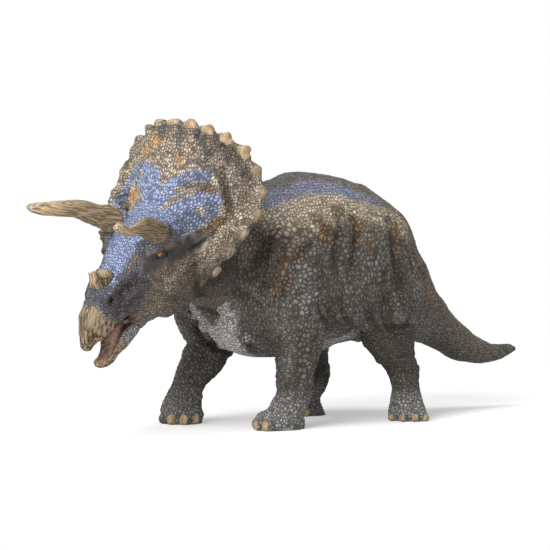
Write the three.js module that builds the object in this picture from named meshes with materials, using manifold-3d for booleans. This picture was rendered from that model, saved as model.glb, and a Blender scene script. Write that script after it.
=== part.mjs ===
// A walking three-horned dinosaur figure, moulded in soft PVC: a hollow body that head, tail and four
// legs plug into, horns and eyes set into the head, and a lower jaw that swings on a pin.
// Millimetres, +Z up, the head towards -X and the figure's left side towards -Y.
// The origin is on the ground, under the middle of the figure's bounding box.
import * as THREE from 'three';
import { mergeVertices } from 'three/addons/utils/BufferGeometryUtils.js';
import Module from 'manifold-3d';

const wasm = await Module();
wasm.setup();

// Body, from the neck seam to the tail seam
const BODY_LENGTH = 98;
const BODY_HEIGHT = 67; // belly to the top of the back
const BODY_WIDTH = 63;
const BELLY_HEIGHT = 24; // ground to the lowest part of the belly
const NECK_LENGTH = 18; // from the neck seam into the back of the skull
const NECK_HEIGHT = 39; // at the seam
const NECK_WIDTH = 38;
const NECK_RISE = 38; // of the middle of the neck seam above the belly
const FOLD_DEPTH = 1.1; // of the skin folds that run down both flanks
const FOLD_WIDTH = 7;
const RING_STEP = 2.7; // between the rings of the body, at most
const CAVITY_LENGTH = 74;
const CAVITY_WIDTH = 46;
const CAVITY_HEIGHT = 42;
const CAVITY_SETBACK = 5; // of the hollow's front end behind the neck seam
const CAVITY_RISE = 38; // of the hollow's middle above the belly

// Tail, from its seam to the tip
const TAIL_LENGTH = 48;
const TAIL_HEIGHT = 28.5; // at the seam
const TAIL_WIDTH = 26;
const TAIL_RISE = 16.8; // of the middle of the tail seam above the belly
const TAIL_DROP = 19.6; // from the seam's middle to the lowest part of the tail's middle line

// Legs
const FORE_LEG_LENGTH = 56; // shoulder to ground
const HIND_LEG_LENGTH = 58;
const FORE_LEG_GIRTH = 25; // across the shoulder
const HIND_LEG_GIRTH = 34; // across the thigh
const SHOULDER_SETBACK = 21; // behind the neck seam
const HIP_SETBACK = 72;
const SHOULDER_SPREAD = 41; // between the middles of the two shoulders
const HIP_SPREAD = 38;
const FORE_SEAM_HEIGHT = 32; // of the middle of the seam between leg and body
const HIND_SEAM_HEIGHT = 33;
const SEAM_TILT = 24; // degrees, the outer edge of a leg's seam above its inner edge
const NAIL_LENGTH = 6.4;
const NAIL_WIDTH = 4;

// Plug joints
const SEAM = 0.3; // gap between fitted pieces
const LEG_PLUG_RADIUS = 4;
const LEG_PLUG_LENGTH = 9;
const NECK_PLUG_RADIUS = 8;
const NECK_PLUG_LENGTH = 13;
const TAIL_PLUG_RADIUS = 6;
const TAIL_PLUG_LENGTH = 13;

// Head
const HEAD_REACH = 7; // of the head's middle point ahead of the neck seam
const HEAD_RISE = 40; // of the same point above the belly
const HEAD_YAW = 7; // degrees, towards the figure's left
const HEAD_PITCH = 30; // degrees, nose down
const HEAD_ROLL = 8; // degrees, left side down
const SKULL_LENGTH = 60; // beak tip to the back of the skull
const SKULL_HEIGHT = 43;
const SKULL_WIDTH = 34;
const FRILL_WIDTH = 69;
const FRILL_HEIGHT = 42.5; // of its rim above the head's middle point
const FRILL_SETBACK = 14.5; // of the rim behind the head's middle point
const FRILL_ROOT_DEPTH = 11; // of the frill's root inside the skull
const FRILL_THICKNESS = 4.4;
const FRILL_KNOBS = 20;
const KNOB_WIDTH = 5.6;
const KNOB_LENGTH = 4.6;

// Horns and eyes
const BROW_HORN_LENGTH = 33.6;
const BROW_HORN_GIRTH = 9.2;
const BROW_HORN_SPACING = 19;
const BROW_HORN_SETBACK = 20; // ahead of the head's middle point
const LEFT_HORN_RISE = 20.2;
const RIGHT_HORN_RISE = 21.4;
const LEFT_HORN_ARCH = 1.5; // of its middle line above the straight one
const RIGHT_HORN_ARCH = 2.1;
const BROW_HORN_SPLAY = 12.4; // sideways, from the base to the tip
const BROW_HORN_LIFT = 19; // of the tip above the base
const NOSE_HORN_HEIGHT = 11.5;
const NOSE_HORN_WIDTH = 5.4;
const NOSE_HORN_SPAN = 9;
const NOSE_HORN_SETBACK = 41.5;
const NOSE_HORN_RISE = 7.4; // of its foot, inside the snout
const EYE_RADIUS = 2.2;
const EYE_SETBACK = 22.4;
const EYE_SPACING = 23.2;
const EYE_RISE = 13.4;

// Jaw
const HINGE_SETBACK = 27; // ahead of the head's middle point
const HINGE_DROP = 5; // below it
const HINGE_RADIUS = 12; // of the round seam between the jaw and the cheeks
const JAW_LENGTH = 28.9; // hinge to chin tip
const JAW_WIDTH = 14.5;
const JAW_DEPTH = 8.4; // of the chin tip below the hinge
const JAW_ARM_WIDTH = 8;
const JAW_ARM_TOP = 6; // degrees, upper edge of the arm above the hinge's level
const JAW_ARM_BOTTOM = 30; // degrees, its lower edge below
const JAW_PLAY = 4; // degrees between the arm and the ends of its slot
const KNUCKLE_RADIUS = 4;
const JAW_CLOSE = 7; // degrees of travel from the open mouth to the closed one
const JAW_OPEN = 8; // degrees of travel from there to the widest mouth
const JAW_PIN_RADIUS = 1;
const JAW_PIN_LENGTH = 15;

const RING_POINTS = 28;
const LEG_POINTS = 18;
const HORN_POINTS = 12;
const ROUND_POINTS = 16;
const HAIR = 0.01; // the finest edge kept
const OVERRUN = 150; // reach of a cutting block past what it cuts

// Ring shape: how square the upper and the lower half are, less for a lower share, and the height of
// the widest point
const BACK_SQUARENESS_SHARE = 1.06;
const BELLY_SQUARENESS_SHARE = 0.84;
const BROW_SQUARENESS_SHARE = 0.78;
const CHEEK_SQUARENESS_SHARE = 0.84;
const WAIST_SHARE = 0.46;

// Each row: place along the length, lower edge and upper edge in body heights, width in body widths
const BODY_SHARES = [
  [0.05, 0.13, 0.885, 0.7],
  [0.11, 0.045, 0.915, 0.79],
  [0.2, 0.005, 0.95, 0.89],
  [0.31, 0, 0.99, 0.965],
  [0.42, 0.008, 1, 1],
  [0.54, 0.05, 0.985, 0.985],
  [0.67, 0.08, 0.94, 0.92],
  [0.78, 0.085, 0.85, 0.8],
  [0.88, 0.075, 0.712, 0.64],
  [0.945, 0.064, 0.567, 0.5],
];

// Each row: place along the body of a fold's upper and lower end, height of the same two ends in body
// heights, depth in fold depths
const FOLD_SHARES = [
  [0.075, 0.09, 0.84, 0.3, 1.1],
  [0.25, 0.16, 0.82, 0.36, 0.8],
  [0.37, 0.35, 0.88, 0.3, 0.8],
  [0.46, 0.46, 0.86, 0.26, 0.7],
  [0.56, 0.58, 0.88, 0.3, -0.5],
  [0.66, 0.71, 0.86, 0.24, 1],
  [0.78, 0.82, 0.74, 0.26, 0.6],
];

// Each row: place along the neck from the seam, rise of the middle, height and width
const NECK_SHARES = [
  [0.5, 0.02, 0.8, 0.86],
  [1, 0.03, 0.58, 0.66],
];

// Each row: place along the tail, drop of the middle line, height and width
const TAIL_SHARES = [
  [0.104, 0.237, 0.796, 0.84],
  [0.208, 0.459, 0.667, 0.707],
  [0.312, 0.635, 0.579, 0.6],
  [0.417, 0.783, 0.495, 0.5],
  [0.521, 0.888, 0.393, 0.4],
  [0.625, 0.969, 0.316, 0.313],
  [0.729, 1.005, 0.239, 0.233],
  [0.842, 0.997, 0.186, 0.173],
  [0.938, 0.957, 0.13, 0.12],
  [1, 0.954, 0.042, 0.04],
];

// Each row: height in leg lengths, reach ahead of the hip and spread in leg lengths, length and width
// of the ring in leg girths
const LEFT_FORE_SHARES = [
  [0, 0.077, 0, 0.78, 0.62],
  [0.045, 0.077, 0, 0.78, 0.62],
  [0.089, 0.054, 0, 0.66, 0.58],
  [0.161, -0.007, 0, 0.544, 0.52],
  [0.223, -0.045, 0, 0.492, 0.48],
  [0.357, -0.046, 0.01, 0.56, 0.512],
  [0.482, -0.055, 0.02, 0.696, 0.58],
  [0.607, -0.045, 0.03, 0.86, 0.68],
  [0.786, -0.009, 0.03, 1.04, 0.74],
  [0.982, 0, -0.04, 1.04, 0.6],
  [1.143, 0, -0.16, 0.84, 0.36],
];
const RIGHT_FORE_SHARES = [
  [0, 0.364, -0.05, 0.56, 0.64],
  [0.054, 0.361, -0.05, 0.632, 0.66],
  [0.132, 0.346, -0.045, 0.584, 0.592],
  [0.205, 0.325, -0.04, 0.492, 0.488],
  [0.259, 0.284, -0.035, 0.536, 0.512],
  [0.339, 0.216, -0.025, 0.67, 0.56],
  [0.429, 0.137, -0.015, 0.78, 0.6],
  [0.518, 0.1, -0.01, 0.82, 0.64],
  [0.661, 0.128, 0, 1.03, 0.66],
  [0.821, 0.143, -0.01, 1.2, 0.68],
  [0.982, 0.089, -0.06, 1.12, 0.56],
  [1.143, 0.036, -0.18, 0.84, 0.36],
];
const LEFT_HIND_SHARES = [
  [0, -0.04, 0.05, 0.382, 0.447],
  [0.052, -0.038, 0.05, 0.382, 0.441],
  [0.112, -0.031, 0.05, 0.347, 0.359],
  [0.202, -0.012, 0.05, 0.324, 0.318],
  [0.307, -0.003, 0.045, 0.329, 0.324],
  [0.388, 0.059, 0.045, 0.456, 0.359],
  [0.469, 0.098, 0.045, 0.568, 0.412],
  [0.586, 0.138, 0.045, 0.721, 0.485],
  [0.793, 0.112, 0.04, 0.912, 0.544],
  [0.983, 0.069, -0.02, 0.941, 0.441],
  [1.172, 0.034, -0.17, 0.765, 0.235],
];
const RIGHT_HIND_SHARES = [
  [0, 0.269, -0.05, 0.382, 0.447],
  [0.052, 0.269, -0.05, 0.382, 0.441],
  [0.112, 0.266, -0.05, 0.347, 0.359],
  [0.184, 0.228, -0.045, 0.341, 0.318],
  [0.259, 0.2, -0.035, 0.394, 0.335],
  [0.31, 0.193, -0.02, 0.429, 0.353],
  [0.379, 0.214, 0, 0.5, 0.382],
  [0.466, 0.241, 0.02, 0.588, 0.426],
  [0.586, 0.224, 0.04, 0.721, 0.485],
  [0.793, 0.138, 0.04, 0.912, 0.544],
  [0.983, 0.069, -0.02, 0.941, 0.441],
  [1.172, 0.034, -0.17, 0.765, 0.235],
];

// Each row: place ahead of the head's middle point in skull lengths, lower and upper edge in skull
// heights, width in skull widths
const SKULL_SHARES = [
  [0.947, -0.14, 0.005, 0.09],
  [0.932, -0.175, 0.08, 0.17],
  [0.892, -0.18, 0.135, 0.24],
  [0.842, -0.145, 0.19, 0.31],
  [0.797, -0.09, 0.25, 0.38],
  [0.755, -0.05, 0.27, 0.45],
  [0.7, -0.055, 0.265, 0.5],
  [0.64, -0.06, 0.28, 0.56],
  [0.56, -0.27, 0.36, 0.64],
  [0.47, -0.275, 0.445, 0.74],
  [0.37, -0.3, 0.51, 0.84],
  [0.24, -0.33, 0.56, 0.88],
  [0.1, -0.35, 0.58, 0.88],
  [-0.03, -0.32, 0.52, 0.78],
  [-0.14, -0.24, 0.38, 0.56],
];

// The cheeks below the hinge, rows as for the skull
const CHEEK_SHARES = [
  [0.4, -0.285, 0.1, 0.8],
  [0.5, -0.28, 0.08, 0.74],
  [0.6, -0.28, 0.04, 0.64],
  [0.68, -0.28, -0.02, 0.56],
];

// Each row: frill rim from the middle of the crown down to the cheek spike: sideways in half frill
// widths, back in setbacks, up in frill heights; then the root: sideways in half skull widths, up in
// skull heights
const FRILL_SHARES = [
  [0, 1, 1, 0, 0.5],
  [0.16, 1, 1, 0.16, 0.5],
  [0.3, 1, 0.985, 0.3, 0.48],
  [0.45, 1, 0.955, 0.42, 0.45],
  [0.6, 0.99, 0.9, 0.52, 0.41],
  [0.74, 0.98, 0.82, 0.6, 0.36],
  [0.87, 0.95, 0.71, 0.66, 0.3],
  [0.96, 0.85, 0.585, 0.7, 0.22],
  [1, 0.62, 0.47, 0.72, 0.14],
  [0.985, 0.25, 0.37, 0.73, 0.06],
  [0.93, -0.2, 0.28, 0.72, 0],
  [0.85, -0.7, 0.175, 0.7, -0.04],
  [0.76, -1.15, 0.07, 0.66, -0.08],
  [0.68, -1.4, 0, 0.6, -0.1],
];
const KNOB_SHARES = [[0, -1], [0.7, -1], [1, -0.15], [0.62, 0.3], [0, 0.5]]; // width, height
const FRILL_DISH_SHARES = [[0.3, -0.35], [0.65, -0.75], [0.9, -0.35]]; // along the rib, bulge

// Each row: along the horn, rise above the straight line in arches, girth
const BROW_HORN_SHARES = [
  [-0.12, -0.3, 0.7],
  [0, 0, 1],
  [0.14, 0.7, 0.9],
  [0.3, 1, 0.76],
  [0.48, 0.75, 0.68],
  [0.66, 0.2, 0.6],
  [0.82, -0.1, 0.5],
  [0.94, -0.1, 0.36],
  [1, 0, 0.17],
];

// Outline of the nose horn seen from the side: a front and a back lobe, and a foot in the snout
const NOSE_HORN_SHARES = [
  [-0.44, 0], [-0.5, 0.36], [-0.5, 0.7], [-0.46, 0.95], [-0.34, 1], [-0.2, 0.86],
  [0, 0.72], [0.2, 0.74], [0.36, 0.8], [0.48, 0.72], [0.5, 0.5], [0.4, 0],
];

// Each row: sideways, size
const NOSE_HORN_FLANK_SHARES = [[-1, 0.66], [-0.72, 0.92], [0, 1], [0.72, 0.92], [1, 0.66]];

// Each row: along the jaw, lower and upper edge below the hinge in jaw depths, width
const JAW_SHARES = [
  [0.3, 0.82, 0, 0.98],
  [0.46, 0.9, 0, 0.98],
  [0.56, 1.02, 0.08, 0.94],
  [0.68, 1.15, 0.36, 0.82],
  [0.8, 1.26, 0.58, 0.64],
  [0.9, 1.3, 0.74, 0.46],
  [0.97, 1.22, 0.88, 0.28],
  [1, 1.1, 0.98, 0.12],
];

const degrees = THREE.MathUtils.degToRad;

// A closed skin over rings of points, with a flat fan over each end
function loft(rings) {
  const count = rings[0].length;
  const points = rings.flat();
  const faces = [];
  for (let r = 0; r + 1 < rings.length; r += 1) {
    for (let k = 0; k < count; k += 1) {
      const a = r * count + k;
      const b = r * count + ((k + 1) % count);
      faces.push(a, b, a + count, b, b + count, a + count);
    }
  }
  for (const r of [0, rings.length - 1]) {
    const middle = new THREE.Vector3();
    rings[r].forEach((point) => middle.addScaledVector(point, 1 / count));
    const hub = points.push(middle) - 1;
    for (let k = 0; k < count; k += 1) {
      const a = r * count + k;
      const b = r * count + ((k + 1) % count);
      faces.push(...(r === 0 ? [hub, b, a] : [hub, a, b]));
    }
  }
  const geometry = new THREE.BufferGeometry();
  const numbers = points.flatMap((point) => point.toArray());
  geometry.setAttribute('position', new THREE.Float32BufferAttribute(numbers, 3));
  geometry.setIndex(faces);
  return geometry;
}

// Six times the volume inside a closed skin, negative where its faces point inwards
function signedVolume(position, index) {
  const corner = [new THREE.Vector3(), new THREE.Vector3(), new THREE.Vector3()];
  let sum = 0;
  for (let k = 0; k < index.length; k += 3) {
    corner.forEach((point, n) => point.fromBufferAttribute(position, index[k + n]));
    sum += corner[0].dot(corner[1].cross(corner[2]));
  }
  return sum;
}

function toSolid(geometry) {
  const bare = geometry.clone();
  bare.deleteAttribute('normal');
  bare.deleteAttribute('uv');
  const welded = mergeVertices(bare);
  const position = welded.getAttribute('position');
  const index = Uint32Array.from(welded.getIndex().array);
  if (signedVolume(position, index) < 0) index.reverse();
  return new wasm.Manifold(new wasm.Mesh({
    numProp: 3,
    vertProperties: Float32Array.from(position.array),
    triVerts: index,
  }));
}

// A solid's skin, with corners closer than a hair joined and the slivers between them dropped
function toGeometry(solid) {
  const { vertProperties, triVerts } = solid.getMesh();
  const raw = new THREE.BufferGeometry();
  raw.setAttribute('position', new THREE.Float32BufferAttribute(vertProperties, 3));
  raw.setIndex(Array.from(triVerts));
  const geometry = mergeVertices(raw, HAIR);
  const corners = geometry.getIndex().array;
  const kept = [];
  for (let k = 0; k < corners.length; k += 3) {
    const [a, b, c] = [corners[k], corners[k + 1], corners[k + 2]];
    if (a !== b && b !== c && c !== a) kept.push(a, b, c);
  }
  geometry.setIndex(kept);
  geometry.computeVertexNormals();
  return geometry;
}

function moved(solid, matrix) {
  return solid.transform(matrix.toArray());
}

function piece(name, solid, material) {
  const mesh = new THREE.Mesh(toGeometry(solid), material);
  mesh.name = name;
  return mesh;
}

// Cosine and sine drawn towards a square as the share falls below one
function squared(value, share) {
  return Math.sign(value) * Math.abs(value) ** share;
}

// An upright ring at x, from its lower to its upper edge
function uprightRing(x, low, high, width, upperShare, lowerShare, grow = 0) {
  const waist = low + (high - low) * WAIST_SHARE;
  return Array.from({ length: RING_POINTS }, (_, k) => {
    const angle = (k / RING_POINTS) * 2 * Math.PI;
    const share = Math.sin(angle) > 0 ? upperShare : lowerShare;
    const side = squared(Math.cos(angle), share) * (width / 2 + grow);
    const reach = Math.sin(angle) > 0 ? high - waist + grow : waist - low + grow;
    return new THREE.Vector3(x, side, waist + squared(Math.sin(angle), share) * reach);
  });
}

function trunkRing(x, low, high, width, grow) {
  return uprightRing(x, low, high, width, BACK_SQUARENESS_SHARE, BELLY_SQUARENESS_SHARE, grow);
}

// Rows of shares with more rows between them, on the straight line from each to the next
function filledIn(rows, step) {
  return rows.flatMap((row, k) => {
    const next = rows[k + 1] ?? row;
    const count = Math.max(1, Math.ceil((next[0] - row[0]) / step));
    return Array.from({ length: count }, (_, n) => (
      row.map((value, i) => value + ((next[i] - value) * n) / count)
    ));
  });
}

// How far the folds press the flank in at a place
function foldDepth(x, z) {
  return FOLD_SHARES.reduce((sum, [upperAlong, lowerAlong, upper, lower, depth]) => {
    const down = (BELLY_HEIGHT + upper * BODY_HEIGHT - z) / ((upper - lower) * BODY_HEIGHT);
    if (down <= 0 || down >= 1) return sum;
    const middle = (upperAlong + (lowerAlong - upperAlong) * down) * BODY_LENGTH;
    const off = (x - middle) / (FOLD_WIDTH / 2);
    return sum + depth * FOLD_DEPTH * Math.sin(Math.PI * down) * Math.exp(-off * off);
  }, 0);
}

function pressedIn(point) {
  return point.setY(point.y - Math.sign(point.y) * foldDepth(point.x, point.z));
}

// Neck, body and tail as one smooth run, so that the pieces cut from it meet flush at their seams.
// x is 0 at the neck seam.
function trunk(grow = 0) {
  const neckMiddle = BELLY_HEIGHT + NECK_RISE;
  const tailMiddle = BELLY_HEIGHT + TAIL_RISE;
  const neck = NECK_SHARES.map(([along, rise, height, width]) => {
    const middle = neckMiddle + rise * NECK_HEIGHT;
    const half = (height * NECK_HEIGHT) / 2;
    return trunkRing(-along * NECK_LENGTH, middle - half, middle + half, width * NECK_WIDTH, grow);
  }).reverse();
  const neckSeam = trunkRing(
    0, neckMiddle - NECK_HEIGHT / 2, neckMiddle + NECK_HEIGHT / 2, NECK_WIDTH, grow,
  );
  const bodyRows = filledIn(BODY_SHARES, RING_STEP / BODY_LENGTH);
  const body = bodyRows.map(([along, low, high, width]) => trunkRing(
    along * BODY_LENGTH,
    BELLY_HEIGHT + low * BODY_HEIGHT,
    BELLY_HEIGHT + high * BODY_HEIGHT,
    width * BODY_WIDTH,
    grow,
  ).map(pressedIn));
  const tailSeam = trunkRing(
    BODY_LENGTH, tailMiddle - TAIL_HEIGHT / 2, tailMiddle + TAIL_HEIGHT / 2, TAIL_WIDTH, grow,
  );
  const tail = TAIL_SHARES.map(([along, drop, height, width]) => {
    const middle = tailMiddle - drop * TAIL_DROP;
    const half = (height * TAIL_HEIGHT) / 2;
    const x = BODY_LENGTH + along * TAIL_LENGTH;
    return trunkRing(x, middle - half, middle + half, width * TAIL_WIDTH, grow);
  });
  return toSolid(loft([...neck, neckSeam, ...body, tailSeam, ...tail]));
}

// The part of a solid with x between two places
function slice(solid, from, to) {
  const block = new THREE.BoxGeometry(to - from, OVERRUN * 2, OVERRUN * 2);
  block.translate((from + to) / 2, 0, 0);
  return solid.intersect(toSolid(block));
}

// A round bar along +X from its start
function barAlongX(radius, length) {
  const bar = new THREE.CylinderGeometry(radius, radius, length, ROUND_POINTS);
  bar.rotateZ(Math.PI / 2);
  bar.translate(length / 2, 0, 0);
  return bar;
}

// A leg as one run from the sole up into the body; side is -1 on the figure's left
function legRun({ shares, side, length, girth, setback, spread }, grow = 0) {
  const rings = shares.map(([height, reach, out, long, wide]) => (
    Array.from({ length: LEG_POINTS }, (_, k) => {
      const angle = (k / LEG_POINTS) * 2 * Math.PI;
      return new THREE.Vector3(
        setback - reach * length + Math.cos(angle) * ((long * girth) / 2 + grow),
        side * (spread / 2 + out * length) + Math.sin(angle) * ((wide * girth) / 2 + grow),
        height * length,
      );
    })));
  return toSolid(loft(rings));
}

// The toenails, each a blunt cone that lies on the foot with its end on the ground
function nails({ shares, side, length, girth, setback, spread, turnShares }) {
  const [, reach, out, long, wide] = shares[1];
  return turnShares.map((turn) => {
    const angle = (turn * Math.PI) / 2;
    const nail = new THREE.SphereGeometry(1, LEG_POINTS / 2, LEG_POINTS / 3);
    nail.rotateX(Math.PI / 2);
    nail.scale(NAIL_LENGTH / 2, NAIL_WIDTH / 2, NAIL_WIDTH / 2);
    nail.rotateZ(angle);
    nail.translate(
      setback - reach * length - Math.cos(angle) * ((long * girth) / 2 - NAIL_WIDTH / 4),
      side * (spread / 2 + out * length) - Math.sin(angle) * ((wide * girth) / 2 - NAIL_WIDTH / 4),
      NAIL_WIDTH / 2,
    );
    return toSolid(nail);
  }).reduce((all, nail) => all.add(nail));
}

// The middle of a leg's run at a height
function legMiddle({ shares, side, length, setback, spread }, height) {
  const above = shares.findIndex(([up]) => up * length > height);
  const [low, high] = [shares[above - 1], shares[above]];
  const along = (height / length - low[0]) / (high[0] - low[0]);
  const reach = low[1] + (high[1] - low[1]) * along;
  const out = low[2] + (high[2] - low[2]) * along;
  return new THREE.Vector3(setback - reach * length, side * (spread / 2 + out * length), height);
}

// A block that fills everything above a leg's tilted seam, lifted off it by a gap
function aboveSeam(leg, gap) {
  const block = new THREE.BoxGeometry(OVERRUN, OVERRUN, OVERRUN);
  block.translate(0, 0, OVERRUN / 2 + gap);
  block.rotateX(leg.side * degrees(SEAM_TILT));
  block.translate(...legMiddle(leg, leg.seamHeight).toArray());
  return toSolid(block);
}

// A leg's plug, square to its seam, from inside the leg up into the body
function legPlug(leg, grow) {
  const foot = LEG_PLUG_RADIUS / 2;
  const length = LEG_PLUG_LENGTH + foot + grow;
  const radius = LEG_PLUG_RADIUS + grow;
  const plug = new THREE.CylinderGeometry(radius, radius, length, ROUND_POINTS);
  plug.translate(0, length / 2 - foot, 0);
  plug.rotateX(Math.PI / 2 + leg.side * degrees(SEAM_TILT));
  plug.translate(...legMiddle(leg, leg.seamHeight).toArray());
  return toSolid(plug);
}

const finish = (name, color, roughness, metalness) => (
  new THREE.MeshStandardMaterial({ name, color, roughness, metalness })
);
const skin = (name, colour) => finish(name, colour, 0.8, 0);
const figure = new THREE.Group();

// turnShares: the nails' places round the foot, from straight ahead towards the left, in right angles
const FORE = {
  length: FORE_LEG_LENGTH, girth: FORE_LEG_GIRTH, setback: SHOULDER_SETBACK, spread: SHOULDER_SPREAD,
  seamHeight: FORE_SEAM_HEIGHT,
};
const HIND = {
  length: HIND_LEG_LENGTH, girth: HIND_LEG_GIRTH, setback: HIP_SETBACK, spread: HIP_SPREAD,
  seamHeight: HIND_SEAM_HEIGHT,
};
const FORE_LEGS = [
  {
    ...FORE, name: 'front_left_leg', side: -1, shares: LEFT_FORE_SHARES,
    turnShares: [-0.25, 0.1, 0.45],
  },
  {
    ...FORE, name: 'front_right_leg', side: 1, shares: RIGHT_FORE_SHARES,
    turnShares: [-0.1, 0.3, 0.7],
  },
];
const HIND_LEGS = [
  {
    ...HIND, name: 'rear_left_leg', side: -1, shares: LEFT_HIND_SHARES,
    turnShares: [0.05, 0.4, 0.75, 1.1],
  },
  {
    ...HIND, name: 'rear_right_leg', side: 1, shares: RIGHT_HIND_SHARES,
    turnShares: [-0.5, -0.15, 0.2, 0.55],
  },
];

// The body holds the root of each leg, down to the leg's seam, and a socket for its plug
const wholeTrunk = trunk();
const grownTrunk = trunk(SEAM);
let torso = slice(wholeTrunk, 0, BODY_LENGTH);
for (const leg of [...FORE_LEGS, ...HIND_LEGS]) {
  torso = torso.add(legRun(leg).intersect(aboveSeam(leg, 0)));
}
for (const leg of [...FORE_LEGS, ...HIND_LEGS]) {
  torso = torso.subtract(legPlug(leg, SEAM));
  const lower = legRun(leg).subtract(aboveSeam(leg, -SEAM)).subtract(grownTrunk);
  figure.add(piece(leg.name, lower.add(nails(leg)).add(legPlug(leg, 0)), skin('skin_leg', 0x5d5852)));
}

const hollow = new THREE.SphereGeometry(1, ROUND_POINTS, ROUND_POINTS / 2);
hollow.rotateZ(Math.PI / 2);
hollow.scale(CAVITY_LENGTH / 2, CAVITY_WIDTH / 2, CAVITY_HEIGHT / 2);
hollow.translate(CAVITY_SETBACK + CAVITY_LENGTH / 2, 0, BELLY_HEIGHT + CAVITY_RISE);
torso = torso.subtract(toSolid(hollow));

const neckPlug = (grow) => {
  const bar = barAlongX(NECK_PLUG_RADIUS + grow, NECK_PLUG_LENGTH + NECK_PLUG_RADIUS + grow);
  bar.translate(-NECK_PLUG_RADIUS, 0, BELLY_HEIGHT + NECK_RISE);
  return toSolid(bar);
};
const tailPlug = (grow) => {
  const bar = barAlongX(TAIL_PLUG_RADIUS + grow, TAIL_PLUG_LENGTH + TAIL_PLUG_RADIUS / 2 + grow);
  bar.translate(BODY_LENGTH - TAIL_PLUG_LENGTH - grow, 0, BELLY_HEIGHT + TAIL_RISE);
  return toSolid(bar);
};
torso = torso.subtract(neckPlug(SEAM)).subtract(tailPlug(SEAM));
figure.add(piece('torso', torso, skin('skin_body', 0x6b655f)));

const tail = slice(wholeTrunk, BODY_LENGTH + SEAM, BODY_LENGTH + TAIL_LENGTH * 2).add(tailPlug(0));
figure.add(piece('tail', tail, skin('skin_tail', 0x59544f)));

// Head, in its own frame: nose towards -X, middle point at its origin
const head = new THREE.Group();
head.rotation.set(degrees(HEAD_ROLL), degrees(-HEAD_PITCH), degrees(HEAD_YAW), 'ZYX');
head.position.set(-HEAD_REACH, 0, BELLY_HEIGHT + HEAD_RISE);
head.updateMatrixWorld();
const intoHead = head.matrixWorld.clone().invert();

function skullRing([ahead, low, high, width]) {
  return uprightRing(
    -ahead * SKULL_LENGTH, low * SKULL_HEIGHT, high * SKULL_HEIGHT, width * SKULL_WIDTH,
    BROW_SQUARENESS_SHARE, CHEEK_SQUARENESS_SHARE,
  );
}

// A round bar across the head, centred on the jaw's hinge
function hingeBar(radius, length, points = ROUND_POINTS * 2) {
  return toSolid(new THREE.CylinderGeometry(radius, radius, length, points));
}

// The cheeks end in a round face about the hinge, which the jaw turns against
const atHinge = new THREE.Matrix4().makeTranslation(-HINGE_SETBACK, 0, -HINGE_DROP);
const cheeks = toSolid(loft(CHEEK_SHARES.map(skullRing)))
  .intersect(moved(hingeBar(HINGE_RADIUS, OVERRUN), atHinge));
let skull = toSolid(loft(SKULL_SHARES.map(skullRing))).add(cheeks);

// The frill as ribs from the skull to the rim, one after the other from cheek spike to cheek spike
function frillRib([side, back, up, rootSide, rootUp], mirror) {
  const rim = new THREE.Vector3(
    back * FRILL_SETBACK, (mirror * side * FRILL_WIDTH) / 2, up * FRILL_HEIGHT,
  );
  const root = new THREE.Vector3(
    -FRILL_ROOT_DEPTH, (mirror * rootSide * SKULL_WIDTH) / 2, rootUp * SKULL_HEIGHT,
  );
  const run = rim.clone().sub(root);
  const ahead = new THREE.Vector3(-run.z, 0, run.x).normalize();
  const front = [root.clone().addScaledVector(ahead, FRILL_THICKNESS / 2)];
  const rear = [root.clone().addScaledVector(ahead, -FRILL_THICKNESS / 2)];
  for (const [along, bulge] of FRILL_DISH_SHARES) {
    const point = root.clone().addScaledVector(run, along);
    const middle = bulge * FRILL_THICKNESS;
    const half = (FRILL_THICKNESS / 2) * (1 - along / 3);
    front.push(point.clone().addScaledVector(ahead, middle + half));
    rear.push(point.clone().addScaledVector(ahead, middle - half));
  }
  const edge = FRILL_THICKNESS / 4;
  front.push(rim.clone().addScaledVector(ahead, edge));
  rear.push(rim.clone().addScaledVector(ahead, -edge));
  return [...front, ...rear.reverse()];
}
const frillRings = [
  ...FRILL_SHARES.slice(1).reverse().map((row) => frillRib(row, -1)),
  ...FRILL_SHARES.map((row) => frillRib(row, 1)),
];
skull = skull.add(toSolid(loft(frillRings)));

// Knobs round the rim, from cheek to cheek
const rimCurve = new THREE.CatmullRomCurve3([
  ...FRILL_SHARES.slice(1).reverse().map(([side, back, up]) => [-side, back, up]),
  ...FRILL_SHARES.map(([side, back, up]) => [side, back, up]),
].map(([side, back, up]) => new THREE.Vector3(
  back * FRILL_SETBACK, (side * FRILL_WIDTH) / 2, up * FRILL_HEIGHT,
)));
for (let k = 0; k < FRILL_KNOBS; k += 1) {
  const place = rimCurve.getPointAt((k + 1) / (FRILL_KNOBS + 1));
  const outward = place.clone().sub(new THREE.Vector3(0, 0, (FRILL_HEIGHT * 2) / 5)).setX(0).normalize();
  const knob = new THREE.LatheGeometry(KNOB_SHARES.map(([wide, up]) => new THREE.Vector2(
    (wide * KNOB_WIDTH) / 2, up * KNOB_LENGTH,
  )), HORN_POINTS - 4);
  knob.scale(1, 1, (FRILL_THICKNESS * 0.75) / KNOB_WIDTH);
  knob.applyQuaternion(new THREE.Quaternion().setFromUnitVectors(new THREE.Vector3(0, 1, 0), outward));
  knob.translate(...place.toArray());
  skull = skull.add(toSolid(knob));
}

// Neck and its plug, cut from the trunk and turned into the head's frame
const neck = slice(wholeTrunk, -NECK_LENGTH * 2, -SEAM);
const shoulderRoom = FORE_LEGS.reduce(
  (room, leg) => room.add(legRun(leg, SEAM)), slice(grownTrunk, -SEAM, BODY_LENGTH),
);
skull = skull
  .add(moved(neck, intoHead))
  .subtract(moved(shoulderRoom, intoHead))
  .add(moved(neckPlug(0), intoHead));

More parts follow.
